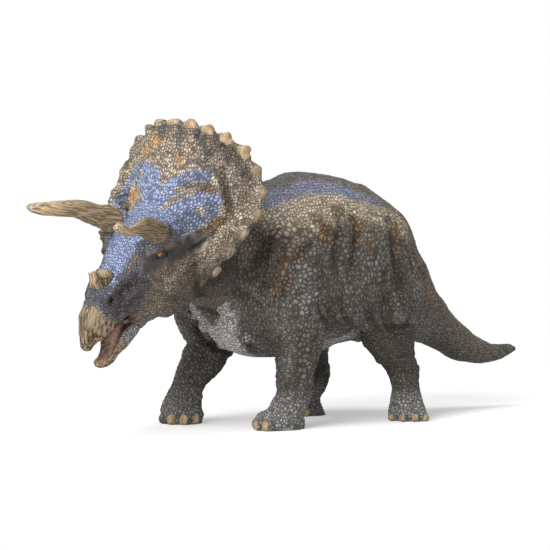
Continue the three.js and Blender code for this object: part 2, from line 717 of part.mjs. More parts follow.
// Brow horns, each a run of round rings from its plug in the brow to the tip
function browHorn({ side, rise, arch }, grow) {
  const reach = Math.sqrt(BROW_HORN_LENGTH ** 2 - BROW_HORN_SPLAY ** 2 - BROW_HORN_LIFT ** 2);
  const base = new THREE.Vector3(-BROW_HORN_SETBACK, (side * BROW_HORN_SPACING) / 2, rise);
  const run = new THREE.Vector3(-reach, side * BROW_HORN_SPLAY, BROW_HORN_LIFT);
  const up = new THREE.Vector3(BROW_HORN_LIFT, 0, reach).normalize();
  const across = run.clone().normalize().cross(up).normalize();
  const rings = BROW_HORN_SHARES.map(([along, lift, girth]) => {
    const middle = base.clone().addScaledVector(run, along).addScaledVector(up, lift * arch);
    const radius = (girth * BROW_HORN_GIRTH) / 2 + grow;
    return Array.from({ length: HORN_POINTS }, (_, k) => {
      const angle = (k / HORN_POINTS) * 2 * Math.PI;
      return middle.clone()
        .addScaledVector(up, Math.cos(angle) * radius)
        .addScaledVector(across, Math.sin(angle) * radius);
    });
  });
  rings[0].forEach((point) => point.addScaledVector(run, -grow / BROW_HORN_LENGTH));
  return toSolid(loft(rings));
}
const LEFT_HORN = { side: -1, rise: LEFT_HORN_RISE, arch: LEFT_HORN_ARCH };
const RIGHT_HORN = { side: 1, rise: RIGHT_HORN_RISE, arch: RIGHT_HORN_ARCH };

// The nose horn, as outlines side by side that shrink towards its two flanks
function noseHorn(grow) {
  const rings = NOSE_HORN_FLANK_SHARES.map(([side, size]) => NOSE_HORN_SHARES.map(([along, up]) => (
    new THREE.Vector3(
      -NOSE_HORN_SETBACK + along * size * (NOSE_HORN_SPAN + grow * 2),
      side * (NOSE_HORN_WIDTH / 2 + grow),
      NOSE_HORN_RISE + (up === 0 ? -grow : up * size * (NOSE_HORN_HEIGHT + grow)),
    ))));
  return toSolid(loft(rings));
}

function eye(mirror, grow) {
  const ball = new THREE.SphereGeometry(EYE_RADIUS + grow, ROUND_POINTS, ROUND_POINTS / 2);
  ball.rotateX(Math.PI / 2);
  ball.translate(-EYE_SETBACK, (mirror * EYE_SPACING) / 2, EYE_RISE);
  return toSolid(ball);
}

skull = skull
  .subtract(browHorn(LEFT_HORN, SEAM))
  .subtract(browHorn(RIGHT_HORN, SEAM))
  .subtract(noseHorn(SEAM))
  .subtract(eye(-1, SEAM))
  .subtract(eye(1, SEAM));

// A flat fan about the jaw's hinge, between two angles up from straight back
function hingeFan(from, to, radius, width) {
  const shape = new THREE.Shape();
  shape.moveTo(0, 0);
  for (let k = 0; k <= ROUND_POINTS; k += 1) {
    const angle = degrees(from + ((to - from) * k) / ROUND_POINTS);
    shape.lineTo(Math.cos(angle) * radius, Math.sin(angle) * radius);
  }
  const fan = new THREE.ExtrudeGeometry(shape, { depth: width, bevelEnabled: false });
  fan.rotateX(Math.PI / 2);
  fan.translate(0, width / 2, 0);
  return toSolid(fan);
}

// The slot between the cheeks that the jaw's arm sweeps
const armSlot = hingeFan(
  180 - JAW_ARM_TOP - JAW_CLOSE - JAW_PLAY,
  180 + JAW_ARM_BOTTOM + JAW_OPEN + JAW_PLAY,
  HINGE_RADIUS * 2,
  JAW_ARM_WIDTH + SEAM * 2,
);
skull = skull
  .subtract(moved(armSlot, atHinge))
  .subtract(moved(hingeBar(KNUCKLE_RADIUS + SEAM, JAW_ARM_WIDTH + SEAM * 2), atHinge))
  .subtract(moved(hingeBar(JAW_PIN_RADIUS + SEAM, JAW_PIN_LENGTH + SEAM * 2), atHinge));
head.add(piece('head', skull, skin('skin_head', 0x71706f)));
head.add(piece('brow_horn_left', browHorn(LEFT_HORN, 0), skin('horn', 0xa08a68)));
head.add(piece('brow_horn_right', browHorn(RIGHT_HORN, 0), skin('horn', 0xa08a68)));
head.add(piece('nose_horn', noseHorn(0), skin('horn', 0xa08a68)));
head.add(piece('eye_left', eye(-1, 0), finish('eye', 0x2a1a0c, 0.2, 0)));
head.add(piece('eye_right', eye(1, 0), finish('eye', 0x2a1a0c, 0.2, 0)));

// Lower jaw, in a frame on its hinge
const jaw = new THREE.Group();
jaw.position.set(-HINGE_SETBACK, 0, -HINGE_DROP);
const jawRings = JAW_SHARES.map(([along, low, high, width]) => uprightRing(
  -along * JAW_LENGTH, -low * JAW_DEPTH, -high * JAW_DEPTH, width * JAW_WIDTH,
  BROW_SQUARENESS_SHARE, CHEEK_SQUARENESS_SHARE,
));
const arm = hingeFan(
  180 - JAW_ARM_TOP, 180 + JAW_ARM_BOTTOM, HINGE_RADIUS + KNUCKLE_RADIUS / 2, JAW_ARM_WIDTH,
);
const scoop = toSolid(loft(jawRings)).subtract(hingeBar(HINGE_RADIUS + SEAM, OVERRUN));
const jawSolid = scoop
  .add(arm)
  .add(hingeBar(KNUCKLE_RADIUS, JAW_ARM_WIDTH))
  .subtract(hingeBar(JAW_PIN_RADIUS + SEAM, OVERRUN));
jaw.add(piece('lower_jaw', jawSolid, skin('skin_jaw', 0x8a7b66)));
head.add(jaw);

const pinMaterial = finish('pin', 0xb8b8b8, 0.35, 1);
const pin = piece('jaw_pin', hingeBar(JAW_PIN_RADIUS, JAW_PIN_LENGTH), pinMaterial);
pin.position.copy(jaw.position);
head.add(pin);
figure.add(head);

// Origin on the ground under the middle of the figure
const bounds = new THREE.Box3().setFromObject(figure, true);
figure.position.set(
  -(bounds.min.x + bounds.max.x) / 2, -(bounds.min.y + bounds.max.y) / 2, -bounds.min.z,
);
const group = new THREE.Group();
group.add(figure);
export default group;
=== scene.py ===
"""Looks of a three-horned toy dinosaur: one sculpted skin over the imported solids, cut back into the
pieces that the figure is assembled from, with horns, eyes and a lower jaw of their own.
Sizes are in millimetres until a mesh is written. Places marked px are read off a picture 550 wide."""
import math

import bmesh
import bpy
import numpy as np
from mathutils import Euler, Matrix, Vector
from mathutils.bvhtree import BVHTree


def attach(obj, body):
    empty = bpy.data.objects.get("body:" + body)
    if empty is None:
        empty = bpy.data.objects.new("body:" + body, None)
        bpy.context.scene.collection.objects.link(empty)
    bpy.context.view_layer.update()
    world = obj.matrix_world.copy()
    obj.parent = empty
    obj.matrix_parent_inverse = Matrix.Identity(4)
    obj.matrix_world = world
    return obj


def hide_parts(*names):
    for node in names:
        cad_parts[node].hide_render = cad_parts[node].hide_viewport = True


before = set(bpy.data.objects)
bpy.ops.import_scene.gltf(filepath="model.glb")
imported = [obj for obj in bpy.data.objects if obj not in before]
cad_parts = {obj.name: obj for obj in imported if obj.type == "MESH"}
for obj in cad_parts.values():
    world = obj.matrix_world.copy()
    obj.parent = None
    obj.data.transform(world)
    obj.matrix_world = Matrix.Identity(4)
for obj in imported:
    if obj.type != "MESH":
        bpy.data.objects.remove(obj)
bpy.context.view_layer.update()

MM = 0.001
HAIR = 0.01  # a length that counts as none, as between the doubled corners of a CAD node

# The camera, on the figure's left and a little above the ground
VIEW_MIDDLE = Vector((-8.5, 3.08, 53.6))
VIEW_TURN = -36  # degrees, from straight at the left flank towards the head
VIEW_RISE = 2.3  # degrees
VIEW_DISTANCE = 900
LENS = 162
SENSOR = 36
PICTURE = 550  # px
PX = VIEW_DISTANCE * SENSOR / LENS / PICTURE  # mm that one px shows at the figure

# Frames of the pieces, as the source places them
FIGURE_MIDDLE = 3.08  # y of the plane that halves the body
HEAD_MIDDLE = Vector((-45.5, FIGURE_MIDDLE, 64))
HEAD_TURN = Euler((math.radians(8), math.radians(-30), math.radians(7)), "XYZ").to_matrix()
HEAD_ORIGIN = np.array(HEAD_MIDDLE)
HEAD_AXES = np.array(HEAD_TURN)

LEGS = ("front_left_leg", "front_right_leg", "rear_left_leg", "rear_right_leg")
SKIN_NODES = ("torso", "head", "tail") + LEGS
TORSO, HEAD, TAIL = range(3)  # their places in the row; the legs follow

# Skin
SWELL = 0.22  # grown on every copy, so that the seams between them close
SKIN_VOXEL = 0.42
SMALL_VOXEL = 0.28  # for the jaw and the horns
PIECE_TRIANGLES = 190000
SKIN_SCALE_HEIGHT = 0.42
JAW_SCALE_HEIGHT = 0.25

# Scales: the width of one, how unevenly they lie, and from which size to which they take over
FINE_SCALES = (1.12, 0.6)  # of the head, throat and tail
LEG_SCALES = (1.4, 0.8)
PLATES = (1.85, 0.72)  # of the flank and shoulder
TO_LEG_SCALES = (0.3, 0.36)
TO_PLATES = (0.64, 0.7)
SCALE_DRIFT = 2.2  # how far their rows wander
FINE_SIZE, TAIL_SIZE, LEG_SIZE, PLATE_SIZE = 0.0, 0.25, 0.5, 1.0

# Edges of paints and patches: how large their waves are, and how far they wander, in radii
EDGE_WAVE = 2.6
EDGE_WANDER = 0.3
PAINT_WANDER = 0.28
PAINT_REACH = 1.3  # how far past its width a brush may touch


def tone(red, green, blue):
    """A paint's colour, given as it looks on a screen, in the renderer's linear numbers."""
    return [((c / 255 + 0.055) / 1.055) ** 2.4 if c > 10 else c / 3294 for c in (red, green, blue)]


# Each paint as it looks on a screen: in the grooves and on the brushed tops of the scales
PAINTS = {
    "grey": ((64, 61, 56), (114, 109, 101)),
    "cream": ((92, 80, 66), (206, 191, 170)),
    "sand": ((114, 103, 88), (206, 190, 167)),
    "blue": ((78, 88, 116), (162, 174, 204)),
    "lavender": ((80, 82, 97), (142, 147, 170)),
    "spine": ((58, 57, 55), (106, 104, 101)),
    "orange": ((136, 98, 54), (214, 166, 112)),
    "ochre": ((62, 45, 25), (124, 93, 52)),
    "umber": ((38, 33, 27), (74, 65, 54)),
    "brown": ((74, 64, 54), (132, 118, 104)),
    "silver": ((78, 77, 75), (168, 167, 163)),
    "slate": ((46, 46, 49), (96, 97, 104)),
    "smooth": ((54, 52, 49), (64, 62, 58)),
    "tan": ((120, 100, 74), (196, 170, 136)),
    "beak": ((62, 50, 35), (150, 131, 104)),
    # the chest's pale colour, made lighter still as painted light where the head's shadow falls
    "chest": ((118, 115, 111), (228, 226, 221)),
    # the frill's cream oval, made lighter still as painted light where its fold faces away from the
    # lamps
    "ivory": ((142, 130, 114), (234, 222, 202)),
    "pale": ((102, 100, 96), (212, 210, 206)),
    "dusk": ((54, 50, 45), (92, 86, 79)),
    "mouth": ((100, 70, 60), (176, 140, 122)),
    "gum": ((58, 32, 25), (112, 74, 62)),
    "tongue": ((146, 112, 100), (196, 164, 150)),
    "horn_root": ((66, 56, 42), (124, 110, 88)),
}
PAINTS = {name: [tone(*seen) for seen in both] for name, both in PAINTS.items()}


def node(tree, kind, inputs=(), **settings):
    """A node of a shader or geometry tree, with its settings and its inputs, by name or number."""
    made = tree.nodes.new(kind)
    for name, value in settings.items():
        setattr(made, name, value)
    for name, value in dict(inputs).items():
        if isinstance(value, bpy.types.NodeSocket):
            tree.links.new(value, made.inputs[name])
        else:
            made.inputs[name].default_value = value
    return made


def math_of(tree, operation, *values):
    """One step of arithmetic on values of a tree."""
    return node(tree, "ShaderNodeMath", enumerate(values), operation=operation).outputs[0]


def noise_of(tree, place, scale, detail, **inputs):
    """Soft noise, from 0 to 1."""
    told = {"Vector": place, "Scale": scale, "Detail": detail} | inputs
    return node(tree, "ShaderNodeTexNoise", told).outputs[0]


def blend_of(tree, share, low, high):
    """Two colours mixed by a share."""
    made = node(tree, "ShaderNodeMix", {0: share, 6: low, 7: high}, data_type="RGBA")
    return made.outputs[2]


def level_of(tree, share, low, high):
    """Two numbers mixed by a share."""
    return node(tree, "ShaderNodeMix", {0: share, 2: low, 3: high}, data_type="FLOAT").outputs[0]


def ramp_of(tree, value, low, high, floor=0.0, top=1.0):
    """A value eased from floor to top as it passes from low to high."""
    made = node(tree, "ShaderNodeMapRange", {0: value, 1: low, 2: high, 3: floor, 4: top},
                interpolation_type="SMOOTHSTEP")
    return made.outputs[0]


def scale_pattern(tree, place, size):
    """Height of the scales, from 0 in a groove to 1 on top, and a random share for each scale.
    The same pattern raises the skin and paints it. size runs from 0, fine, to 1, plates."""
    drift = node(tree, "ShaderNodeTexNoise", {"Vector": place, "Scale": 170.0, "Detail": 1.0})
    centred = node(tree, "ShaderNodeVectorMath", {0: drift.outputs["Color"], 1: (0.5, 0.5, 0.5)},
                   operation="SUBTRACT")
    short = node(tree, "ShaderNodeVectorMath", {0: centred.outputs[0], "Scale": SCALE_DRIFT * MM},
                 operation="SCALE")
    at = node(tree, "ShaderNodeVectorMath", {0: place, 1: short.outputs[0]}).outputs[0]
    tops, shades = [], []
    for width, uneven in (FINE_SCALES, LEG_SCALES, PLATES):
        wide = {"Vector": at, "Scale": 1 / (width * MM), "Randomness": uneven}
        edge = node(tree, "ShaderNodeTexVoronoi", wide, feature="DISTANCE_TO_EDGE")
        cell = node(tree, "ShaderNodeTexVoronoi", wide, feature="F1")
        dome = ramp_of(tree, cell.outputs["Distance"], 0.3, 0.8, 1.0, 0.35)
        rim = ramp_of(tree, edge.outputs["Distance"], 0.0, 0.25)
        tops.append(math_of(tree, "MULTIPLY", rim, dome))
        shades.append(cell.outputs["Color"])
    top, shade = tops[0], shades[0]
    for k, (low, high) in enumerate((TO_LEG_SCALES, TO_PLATES), 1):
        share = ramp_of(tree, size, low, high)
        top = level_of(tree, share, top, tops[k])
        shade = blend_of(tree, share, shade, shades[k])
    return top, node(tree, "ShaderNodeSeparateXYZ", {0: shade}).outputs[0]


def shader_tree(name):
    """A new material and its empty tree."""
    made = bpy.data.materials.new(name)
    made.use_nodes = True
    made.node_tree.nodes.clear()
    return made, made.node_tree


def surface(tree, shader):
    """Ends a material's tree with its shader."""
    node(tree, "ShaderNodeOutputMaterial", {0: shader.outputs[0]})


def object_place(tree):
    """A place on the piece, in metres."""
    return node(tree, "ShaderNodeTexCoord").outputs["Object"]


def geometry_tree(name):
    """A new geometry tree and the shape that comes into it."""
    tree = bpy.data.node_groups.new(name, "GeometryNodeTree")
    for way in ("INPUT", "OUTPUT"):
        tree.interface.new_socket("Geometry", in_out=way, socket_type="NodeSocketGeometry")
    return tree, node(tree, "NodeGroupInput").outputs[0]


def put_through(piece, tree, shape):
    """Ends a geometry tree with its shape and puts the piece through it."""
    node(tree, "NodeGroupOutput", {0: shape})
    piece.modifiers.new(tree.name, "NODES").node_group = tree
    return applied(piece)


def array_of(items, key, kind, width=1):
    """One property of every vertex, edge or corner of a mesh."""
    values = np.empty(len(items) * width, kind)
    items.foreach_get(key, values)
    return values.reshape(-1, width) if width > 1 else values


def applied(piece):
    """Turns a piece's modifiers into its mesh."""
    graph = bpy.context.evaluated_depsgraph_get()
    mesh = bpy.data.meshes.new_from_object(piece.evaluated_get(graph), depsgraph=graph)
    piece.modifiers.clear()
    old, piece.data = piece.data, mesh
    bpy.data.meshes.remove(old)
    return piece


def stood(made, name):
    """A bmesh as an object of the scene."""
    mesh = bpy.data.meshes.new(name)
    made.to_mesh(mesh)
    made.free()
    piece = bpy.data.objects.new(name, mesh)
    bpy.context.scene.collection.objects.link(piece)
    return piece


def poured(part, whole):
    """Moves a bmesh's faces into another."""
    mesh = bpy.data.meshes.new("poured")
    part.to_mesh(mesh)
    part.free()
    whole.from_mesh(mesh)
    bpy.data.meshes.remove(mesh)


def merged_copies(names, swell):
    """Copies of CAD nodes in one bmesh, each with its corners merged and swollen a little."""
    whole = bmesh.new()
    for name in names:
        part = bmesh.new()
        part.from_mesh(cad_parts[name].data)
        bmesh.ops.remove_doubles(part, verts=part.verts, dist=HAIR * MM)
        part.normal_update()
        for vert in part.verts:
            vert.co += vert.normal * swell * MM
        poured(part, whole)
    return whole


def filled(whole, middle, radii):
    """A ball that fills a hollow of the solids."""
    place = Matrix.Translation(Vector(middle) * MM) @ Matrix.Diagonal((*[r * MM for r in radii], 1))
    ball = bmesh.new()
    bmesh.ops.create_uvsphere(ball, u_segments=32, v_segments=16, radius=1, matrix=place)
    poured(ball, whole)


def in_head(x, y, z):
    """A place of the head's frame in the figure's."""
    return HEAD_MIDDLE + HEAD_TURN @ Vector((x, y, z))


def remeshed(piece, voxel):
    """One even closed mesh round a piece's overlapping copies, without the shells left inside."""
    piece.modifiers.new("even mesh", "REMESH")
    piece.modifiers[0].mode = "VOXEL"
    piece.modifiers[0].voxel_size = voxel * MM
    applied(piece)
    made = bmesh.new()
    made.from_mesh(piece.data)
    loose = set(made.verts)
    islands = []
    while loose:
        front = [loose.pop()]
        island = set(front)
        while front:
            fresh = {e.other_vert(v) for v in front for e in v.link_edges} - island
            island |= fresh
            front = list(fresh)
        loose -= island
        islands.append(island)
    islands.sort(key=len)
    inner = [v for island in islands[:-1] for v in island]
    bmesh.ops.delete(made, geom=inner, context="VERTS")
    made.to_mesh(piece.data)
    made.free()
    return piece


class Skin:
    """A piece's mesh as arrays, in millimetres, while it is sculpted and painted."""

    def __init__(self, piece):
        self.piece = piece
        mesh = piece.data
        count = len(mesh.vertices)
        self.place = array_of(mesh.vertices, "co", np.float32, 3).astype(np.float64) / MM
        self.edges = array_of(mesh.edges, "vertices", np.int32, 2)
        self.lift = np.zeros(count)
        self.groove, self.top = (np.tile(np.array(tones), (count, 1)) for tones in PAINTS["grey"])
        self.size = np.zeros(count)
        self.relief = np.ones(count)
        self.grain = np.zeros(count)
        self.grain_place = np.zeros((count, 3))
        self.scale_place = self.place.copy()

    def relax(self, rounds, weight=1.0, steps=(0.55, -0.57)):
        """Smooths the mesh without shrinking it. One step alone flattens it."""
        a, b = self.edges.T
        count = len(self.place)
        around = np.maximum(np.bincount(self.edges.ravel(), minlength=count), 1)[:, None]
        weight = np.broadcast_to(weight, count)[:, None]
        for _ in range(rounds):
            for step in steps:
                total = np.stack([
                    np.bincount(a, self.place[b, k], count) + np.bincount(b, self.place[a, k], count)
                    for k in range(3)], 1)
                self.place += weight * step * (total / around - self.place)

    def write(self):
        self.piece.data.vertices.foreach_set("co", (self.place * MM).astype(np.float32).ravel())
        self.piece.data.update()

    def normals(self):
        self.write()
        return array_of(self.piece.data.vertex_normals, "vector", np.float32, 3).astype(np.float64)

    def settle(self):
        """Moves the mesh by what the strokes have raised or pressed in."""
        self.place += self.normals() * self.lift[:, None]
        self.lift[:] = 0
        self.write()

    def near(self, trail, radius):
        """The vertices near a trail, their distance from it in radii, and their share along it."""
        low, high = trail.min(0) - radius, trail.max(0) + radius
        found = np.flatnonzero(((self.place > low) & (self.place < high)).all(1))
        place = self.place[found]
        best = np.full(len(found), np.inf)
        share = np.zeros(len(found))
        steps = max(len(trail) - 1, 1)
        for k in range(steps):
            start = trail[k]
            run = trail[min(k + 1, len(trail) - 1)] - start
            if run @ run > TRAIL_BREAK ** 2:
                continue
            along = np.clip((place - start) @ run / max(run @ run, HAIR ** 2), 0, 1)
            away = np.linalg.norm(place - start - along[:, None] * run, axis=1)
            closer = away < best
            best[closer] = away[closer]
            share[closer] = (k + along[closer]) / steps
        inside = best < radius
        return found[inside], best[inside] / radius, share[inside]

    def cover(self, share, paint, where=slice(None)):
        """Lays a paint over vertices by a share of each."""
        share = np.broadcast_to(share, self.size[where].shape)[:, None]
        groove, top = PAINTS[paint]
        self.groove[where] += share * (np.array(groove) - self.groove[where])
        self.top[where] += share * (np.array(top) - self.top[where])

    def brush(self, trail, radius, paint, strength, within, soft=0.55):
        """A painted stroke with an uneven edge, kept to a part of the skin."""
        where, away, _ = self.near(trail, radius * PAINT_REACH)
        rough = away * PAINT_REACH + PAINT_WANDER * mottle(self.place[where], EDGE_WAVE)
        self.cover(strength * eased(rough, 1.0 + soft / 4, 1.0 - soft) * within[where], paint, where)
        return where, away

    def patch(self, trail, radius, reach):
        """The vertices of a patch with an uneven edge."""
        where, away, _ = self.near(trail, radius)
        return where[away + EDGE_WANDER * mottle(self.place[where], EDGE_WAVE) < reach]

    def stroke(self, trail, radius, height):
        """A raised or pressed-in stroke that fades at both ends. A fold has a puffy edge."""
        where, away, share = self.near(trail, radius)
        fade = np.clip(4.5 * np.minimum(share, 1 - share) + 0.12, 0, 1) if len(trail) > 2 else 1.0
        if height > 0:
            form = (1 - away ** 2) ** 2
        else:
            puff = 0.4 if radius > BROAD_FOLD else 0.1
            form = np.exp(-(away / 0.3) ** 2) - puff * np.exp(-((away - 0.68) / 0.2) ** 2)
        self.lift[where] += height * form * fade


TRAIL_BREAK = 7  # two neighbouring hits of a trail further apart than this are on different pieces
BROAD_FOLD = 2.4  # a fold wider than this has a fuller edge


def eased(value, low, high):
    """0 at low to 1 at high, smoothly; low may be the greater."""
    share = np.clip((value - low) / (high - low), 0, 1)
    return share * share * (3 - 2 * share)


def mottle(place, size):
    """Uneven patches of about a size, from -1 to 1, always the same for a place."""
    x, y, z = place.T * (2 * math.pi / (size * 3))
    soft = np.sin(1.7 * x + 2.1 * np.sin(0.9 * y + 0.4 * z) + 0.3)
    soft += np.sin(1.9 * z - 1.3 * x + 1.8 * np.sin(1.1 * z + 0.7 * x) + 1.7)
    soft += np.sin(2.2 * y + 0.8 * z + 1.6 * np.sin(1.3 * x - 0.6 * y) + 4.1)
    return soft / 3


def camera_axes():
    """The camera's ways right, up and back."""
    turn, rise = math.radians(VIEW_TURN), math.radians(VIEW_RISE)
    back = Vector((math.sin(turn) * math.cos(rise), -math.cos(turn) * math.cos(rise), math.sin(rise)))
    right = Vector((math.cos(turn), math.sin(turn), 0))
    return right, back.cross(right), back


def seen_at(place):
    """The px at which places lie."""
    right, up, back = camera_axes()
    away = place - np.array(VIEW_MIDDLE + back * VIEW_DISTANCE)
    depth = -(away @ np.array(back)) * SENSOR / LENS / PICTURE
    return np.stack([away @ np.array(right) / depth, -(away @ np.array(up)) / depth], 1) + PICTURE / 2


class Picture:
    """Finds the places of the skin that a picture's px show."""

    def __init__(self, skin):
        faces = array_of(skin.piece.data.loops, "vertex_index", np.int32).reshape(-1, 4)
        self.tree = BVHTree.FromPolygons(skin.place.tolist(), faces.tolist())
        self.right, self.up, self.back = camera_axes()
        self.eye = VIEW_MIDDLE + self.back * VIEW_DISTANCE

    def hit(self, x, y):
        scale = SENSOR / LENS / PICTURE
        way = self.right * (x - PICTURE / 2) * scale - self.up * (y - PICTURE / 2) * scale - self.back
        return self.tree.ray_cast(self.eye, way.normalized())[0]

    def trail(self, points, step=4):
        """A run of px as a run of places on the skin."""
        run = []
        for (x0, y0), (x1, y1) in zip(points, points[1:]):
            count = max(1, round(math.hypot(x1 - x0, y1 - y0) / step))
            run += [(x0 + (x1 - x0) * k / count, y0 + (y1 - y0) * k / count) for k in range(count)]
        run.append(points[-1])
        found = [self.hit(x, y) for x, y in run]
        return np.array([list(place) for place in found if place is not None]).reshape(-1, 3)

    def both_sides(self, points, in_head_frame):
        """A run of px on the side that is seen, and the same run on the other side."""
        trail = self.trail(points, 2 if in_head_frame else 4)
        return trail, mirrored(trail, in_head_frame)


def drawn_to_outline(skin, has):
    """Draws a mesh a little across the picture, to where its outline is seen."""
    right, up, _ = camera_axes()
    shown = seen_at(skin.place)
    for names, moves in OUTLINE_MOVES.items():
        for x, y, across, down, reach in moves:
            away = np.hypot(shown[:, 0] - x, shown[:, 1] - y) / reach
            share = np.maximum(1 - away ** 2, 0) ** 2 * has(names)
            skin.place += share[:, None] * PX * np.array(right * across - up * down)


def enclosed(places, outline):
    """Which px lie inside an outline."""
    x, y = places.T
    inside = np.zeros(len(places), bool)
    for (x0, y0), (x1, y1) in zip(outline, outline[1:] + outline[:1]):
        if y0 != y1:
            crossing = x0 + (y - y0) * (x1 - x0) / (y1 - y0)
            inside ^= ((y0 > y) != (y1 > y)) & (x < crossing)
    return inside


def mirrored(trail, in_head_frame):
    """The same run on the other side of the head or of the body."""
    if in_head_frame:
        local = (trail - HEAD_ORIGIN) @ HEAD_AXES
        local[:, 1] *= -1
        return local @ HEAD_AXES.T + HEAD_ORIGIN
    other = trail.copy()
    other[:, 1] = 2 * FIGURE_MIDDLE - other[:, 1]
    return other


# Small moves of the skin, by the nodes that they move: x and y, how far right and down, and the
# reach, all in px
OUTLINE_MOVES = {
    ("head", "torso", "lower_jaw"): [(149, 332, 0, -8, 20)],
    ("head", "torso"): [(160, 323, 0, -4, 12), (145, 326, 0, -4, 9)],
    ("head",): [
        # the cheek, the beak and the snout
        (113, 323, 0, 5, 10), (125, 318, 0, 2.2, 7), (80, 300, 3, 0, 16), (83, 347, -2.5, 2, 12),
        (85, 293, 2, 0, 9), (85, 297, 1.5, 0, 6), (98, 346, -3, -4, 12), (77, 326, 1.2, 0, 10),
        # the frill's rim
        (112, 200, -7, 0, 18), (103, 236, -9, 0, 12), (128, 150, 4, 1, 14), (139, 133, 5, 4, 13),
        (149, 125, 4, 4, 9), (161, 119, 1, 3, 8), (176, 118, 1, 2.5, 8), (187, 121, 0, -2, 6),
        (225, 134, 1, -2, 9), (250, 154, 2, 0, 8), (120, 178, -3, 0, 14), (240, 152, 2, -3, 22),
    ],
    # the withers and the belly
    ("torso",): [(266, 178, 0, 5, 22), (336, 347, 0, -2.5, 14), (349, 341, 0, -1.5, 10)],
    # the rump and the tail
    ("torso", "tail"): [
        (404, 218, 1.5, -1.5, 14), (420, 250, -4.6, 1.8, 24), (438, 281, -3.6, 1.4, 27),
        (454, 304, -1.5, 0.6, 27), (432, 352, 0, -2.5, 20),
    ],
    ("torso", "front_right_leg"): [(186, 344, 3, 0, 9)],
    ("torso", "rear_left_leg"): [(361, 342, 0, 2.5, 11)],
    ("front_right_leg",): [
        (170, 375, 1.2, 0, 30), (218, 372, 1.5, 1.5, 14), (202, 405, -2, 0, 10), (157, 418, 3, 0, 10),
    ],
    ("front_left_leg",): [(262, 405, 2, 2.5, 12), (250, 424, 5, 0, 12)],
    ("rear_left_leg",): [(418, 367, 2, 0, 12), (390, 388, 2.5, 0, 16)],
    ("rear_right_leg",): [(328, 362, -3, 0, 14), (323, 402, -4, 0, 14)],
    ("nose_horn",): [(104, 265, 2, 4, 7), (111, 267, 0, 2, 6), (88, 268, 0, 3, 7), (88, 275, 2, 0, 14)],
    ("lower_jaw",): [(98, 350, 3, 0, 14), (131, 342, -1.5, -1, 10), (122, 354, -2, -1.5, 14)],
    ("brow_horn_left",): [(130, 218, 0, 7, 11), (139, 215, 0, 3, 8)],
    ("brow_horn_right",): [
        (60, 210, 0, -2.5, 45), (108, 225, 1, 3, 14), (90, 223, 0, 3, 17), (98, 203, 0, 1.5, 12),
    ],
}

FOLD_SHADE = 0.6  # strength of the painted shade in a pressed-in fold of the body

# Folds of the body, the same on both flanks: width, height, run in px
BODY_FOLDS = [
    (6.0, -2.2, [(262, 214), (268, 232), (266, 250), (258, 268)]),
    (4.5, -1.2, [(276, 226), (284, 240), (282, 258), (274, 276), (262, 292)]),
    (4.5, -1.2, [(308, 240), (300, 258), (294, 276), (284, 292), (270, 302)]),
    (8.0, 1.4, [(296, 216), (292, 240), (286, 262)]),
    (3.5, -1.0, [(232, 282), (244, 296), (262, 306)]),
    (4.0, -1.2, [(192, 328), (208, 342), (222, 352)]),
    (4.0, -1.1, [(206, 306), (218, 316), (226, 330), (240, 344), (262, 352)]),
    (3.5, -0.9, [(226, 314), (236, 326), (250, 336), (270, 342)]),
    (3.0, -0.8, [(186, 304), (196, 318), (210, 330)]),
    (4.5, -1.0, [(338, 208), (343, 226), (338, 244), (334, 264)]),
    (4.0, -0.9, [(352, 214), (358, 234), (354, 256), (350, 280)]),
    (5.5, -1.4, [(388, 214), (392, 236), (394, 258), (400, 284)]),
    (5.0, 0.9, [(378, 224), (380, 250), (380, 276)]),
    (5.0, 0.9, [(366, 214), (368, 240), (366, 268)]),
    (4.0, -1.3, [(386, 296), (384, 312), (388, 326), (398, 334), (410, 336)]),
    (3.4, 1.8, [(393, 324), (398, 319), (405, 317)]),
    (2.6, -1.2, [(388, 326), (396, 330), (404, 326), (409, 318)]),
    (3.5, -0.9, [(366, 306), (372, 322), (382, 334)]),
    (4.0, -0.9, [(340, 300), (346, 318), (356, 332), (368, 340)]),
    (3.5, -0.8, [(326, 306), (336, 322), (348, 334)]),
    (4.0, -0.9, [(318, 300), (322, 316), (330, 330)]),
    (3.4, -0.7, [(412, 246), (416, 262), (424, 276)]),
    (3.2, -0.6, [(402, 230), (407, 250), (412, 268), (420, 284)]),
]

# Folds of the head, the same on both sides of it
HEAD_FOLDS = [
    (3.4, 1.3, [(240, 210), (238, 220), (230, 229), (222, 239), (210, 250), (203, 262)]),
    (3.2, -0.9, [(222, 172), (225, 186), (228, 200), (230, 212)]),
    (2.6, -0.7, [(226, 224), (214, 236), (200, 246), (188, 252)]),
    (2.6, 0.8, [(140, 246), (150, 247), (160, 246), (172, 246)]),
    (2.2, -0.7, [(150, 258), (158, 259), (168, 256), (176, 250)]),
    (2.0, 0.5, [(148, 254), (154, 249), (160, 248), (166, 250), (163, 255), (156, 256), (150, 255)]),
    (2.6, -2.3, [(111.5, 305), (111.5, 301), (113.5, 298)]),
    (1.6, 0.5, [(110, 295), (107.5, 299), (108, 304), (112, 308)]),
    (5.0, -2.0, [(119, 296), (125, 290), (135, 284)]),
    (2.2, 0.6, [(112, 291), (122, 288), (130, 290)]),
    (1.4, -0.5, [(93, 305), (100, 311), (108, 318), (118, 323), (127, 325)]),
    (1.7, 0.4, [(97, 302), (104, 309), (112, 315), (122, 319), (130, 321)]),
    (2.6, 0.7, [(196, 284), (180, 290), (164, 292)]),
    (2.6, -0.8, [(188, 297), (176, 300), (166, 299)]),
    (3.0, -0.6, [(200, 262), (190, 270), (180, 280), (172, 286)]),
    (2.4, -0.4, [(136, 300), (146, 306), (152, 314)]),
]

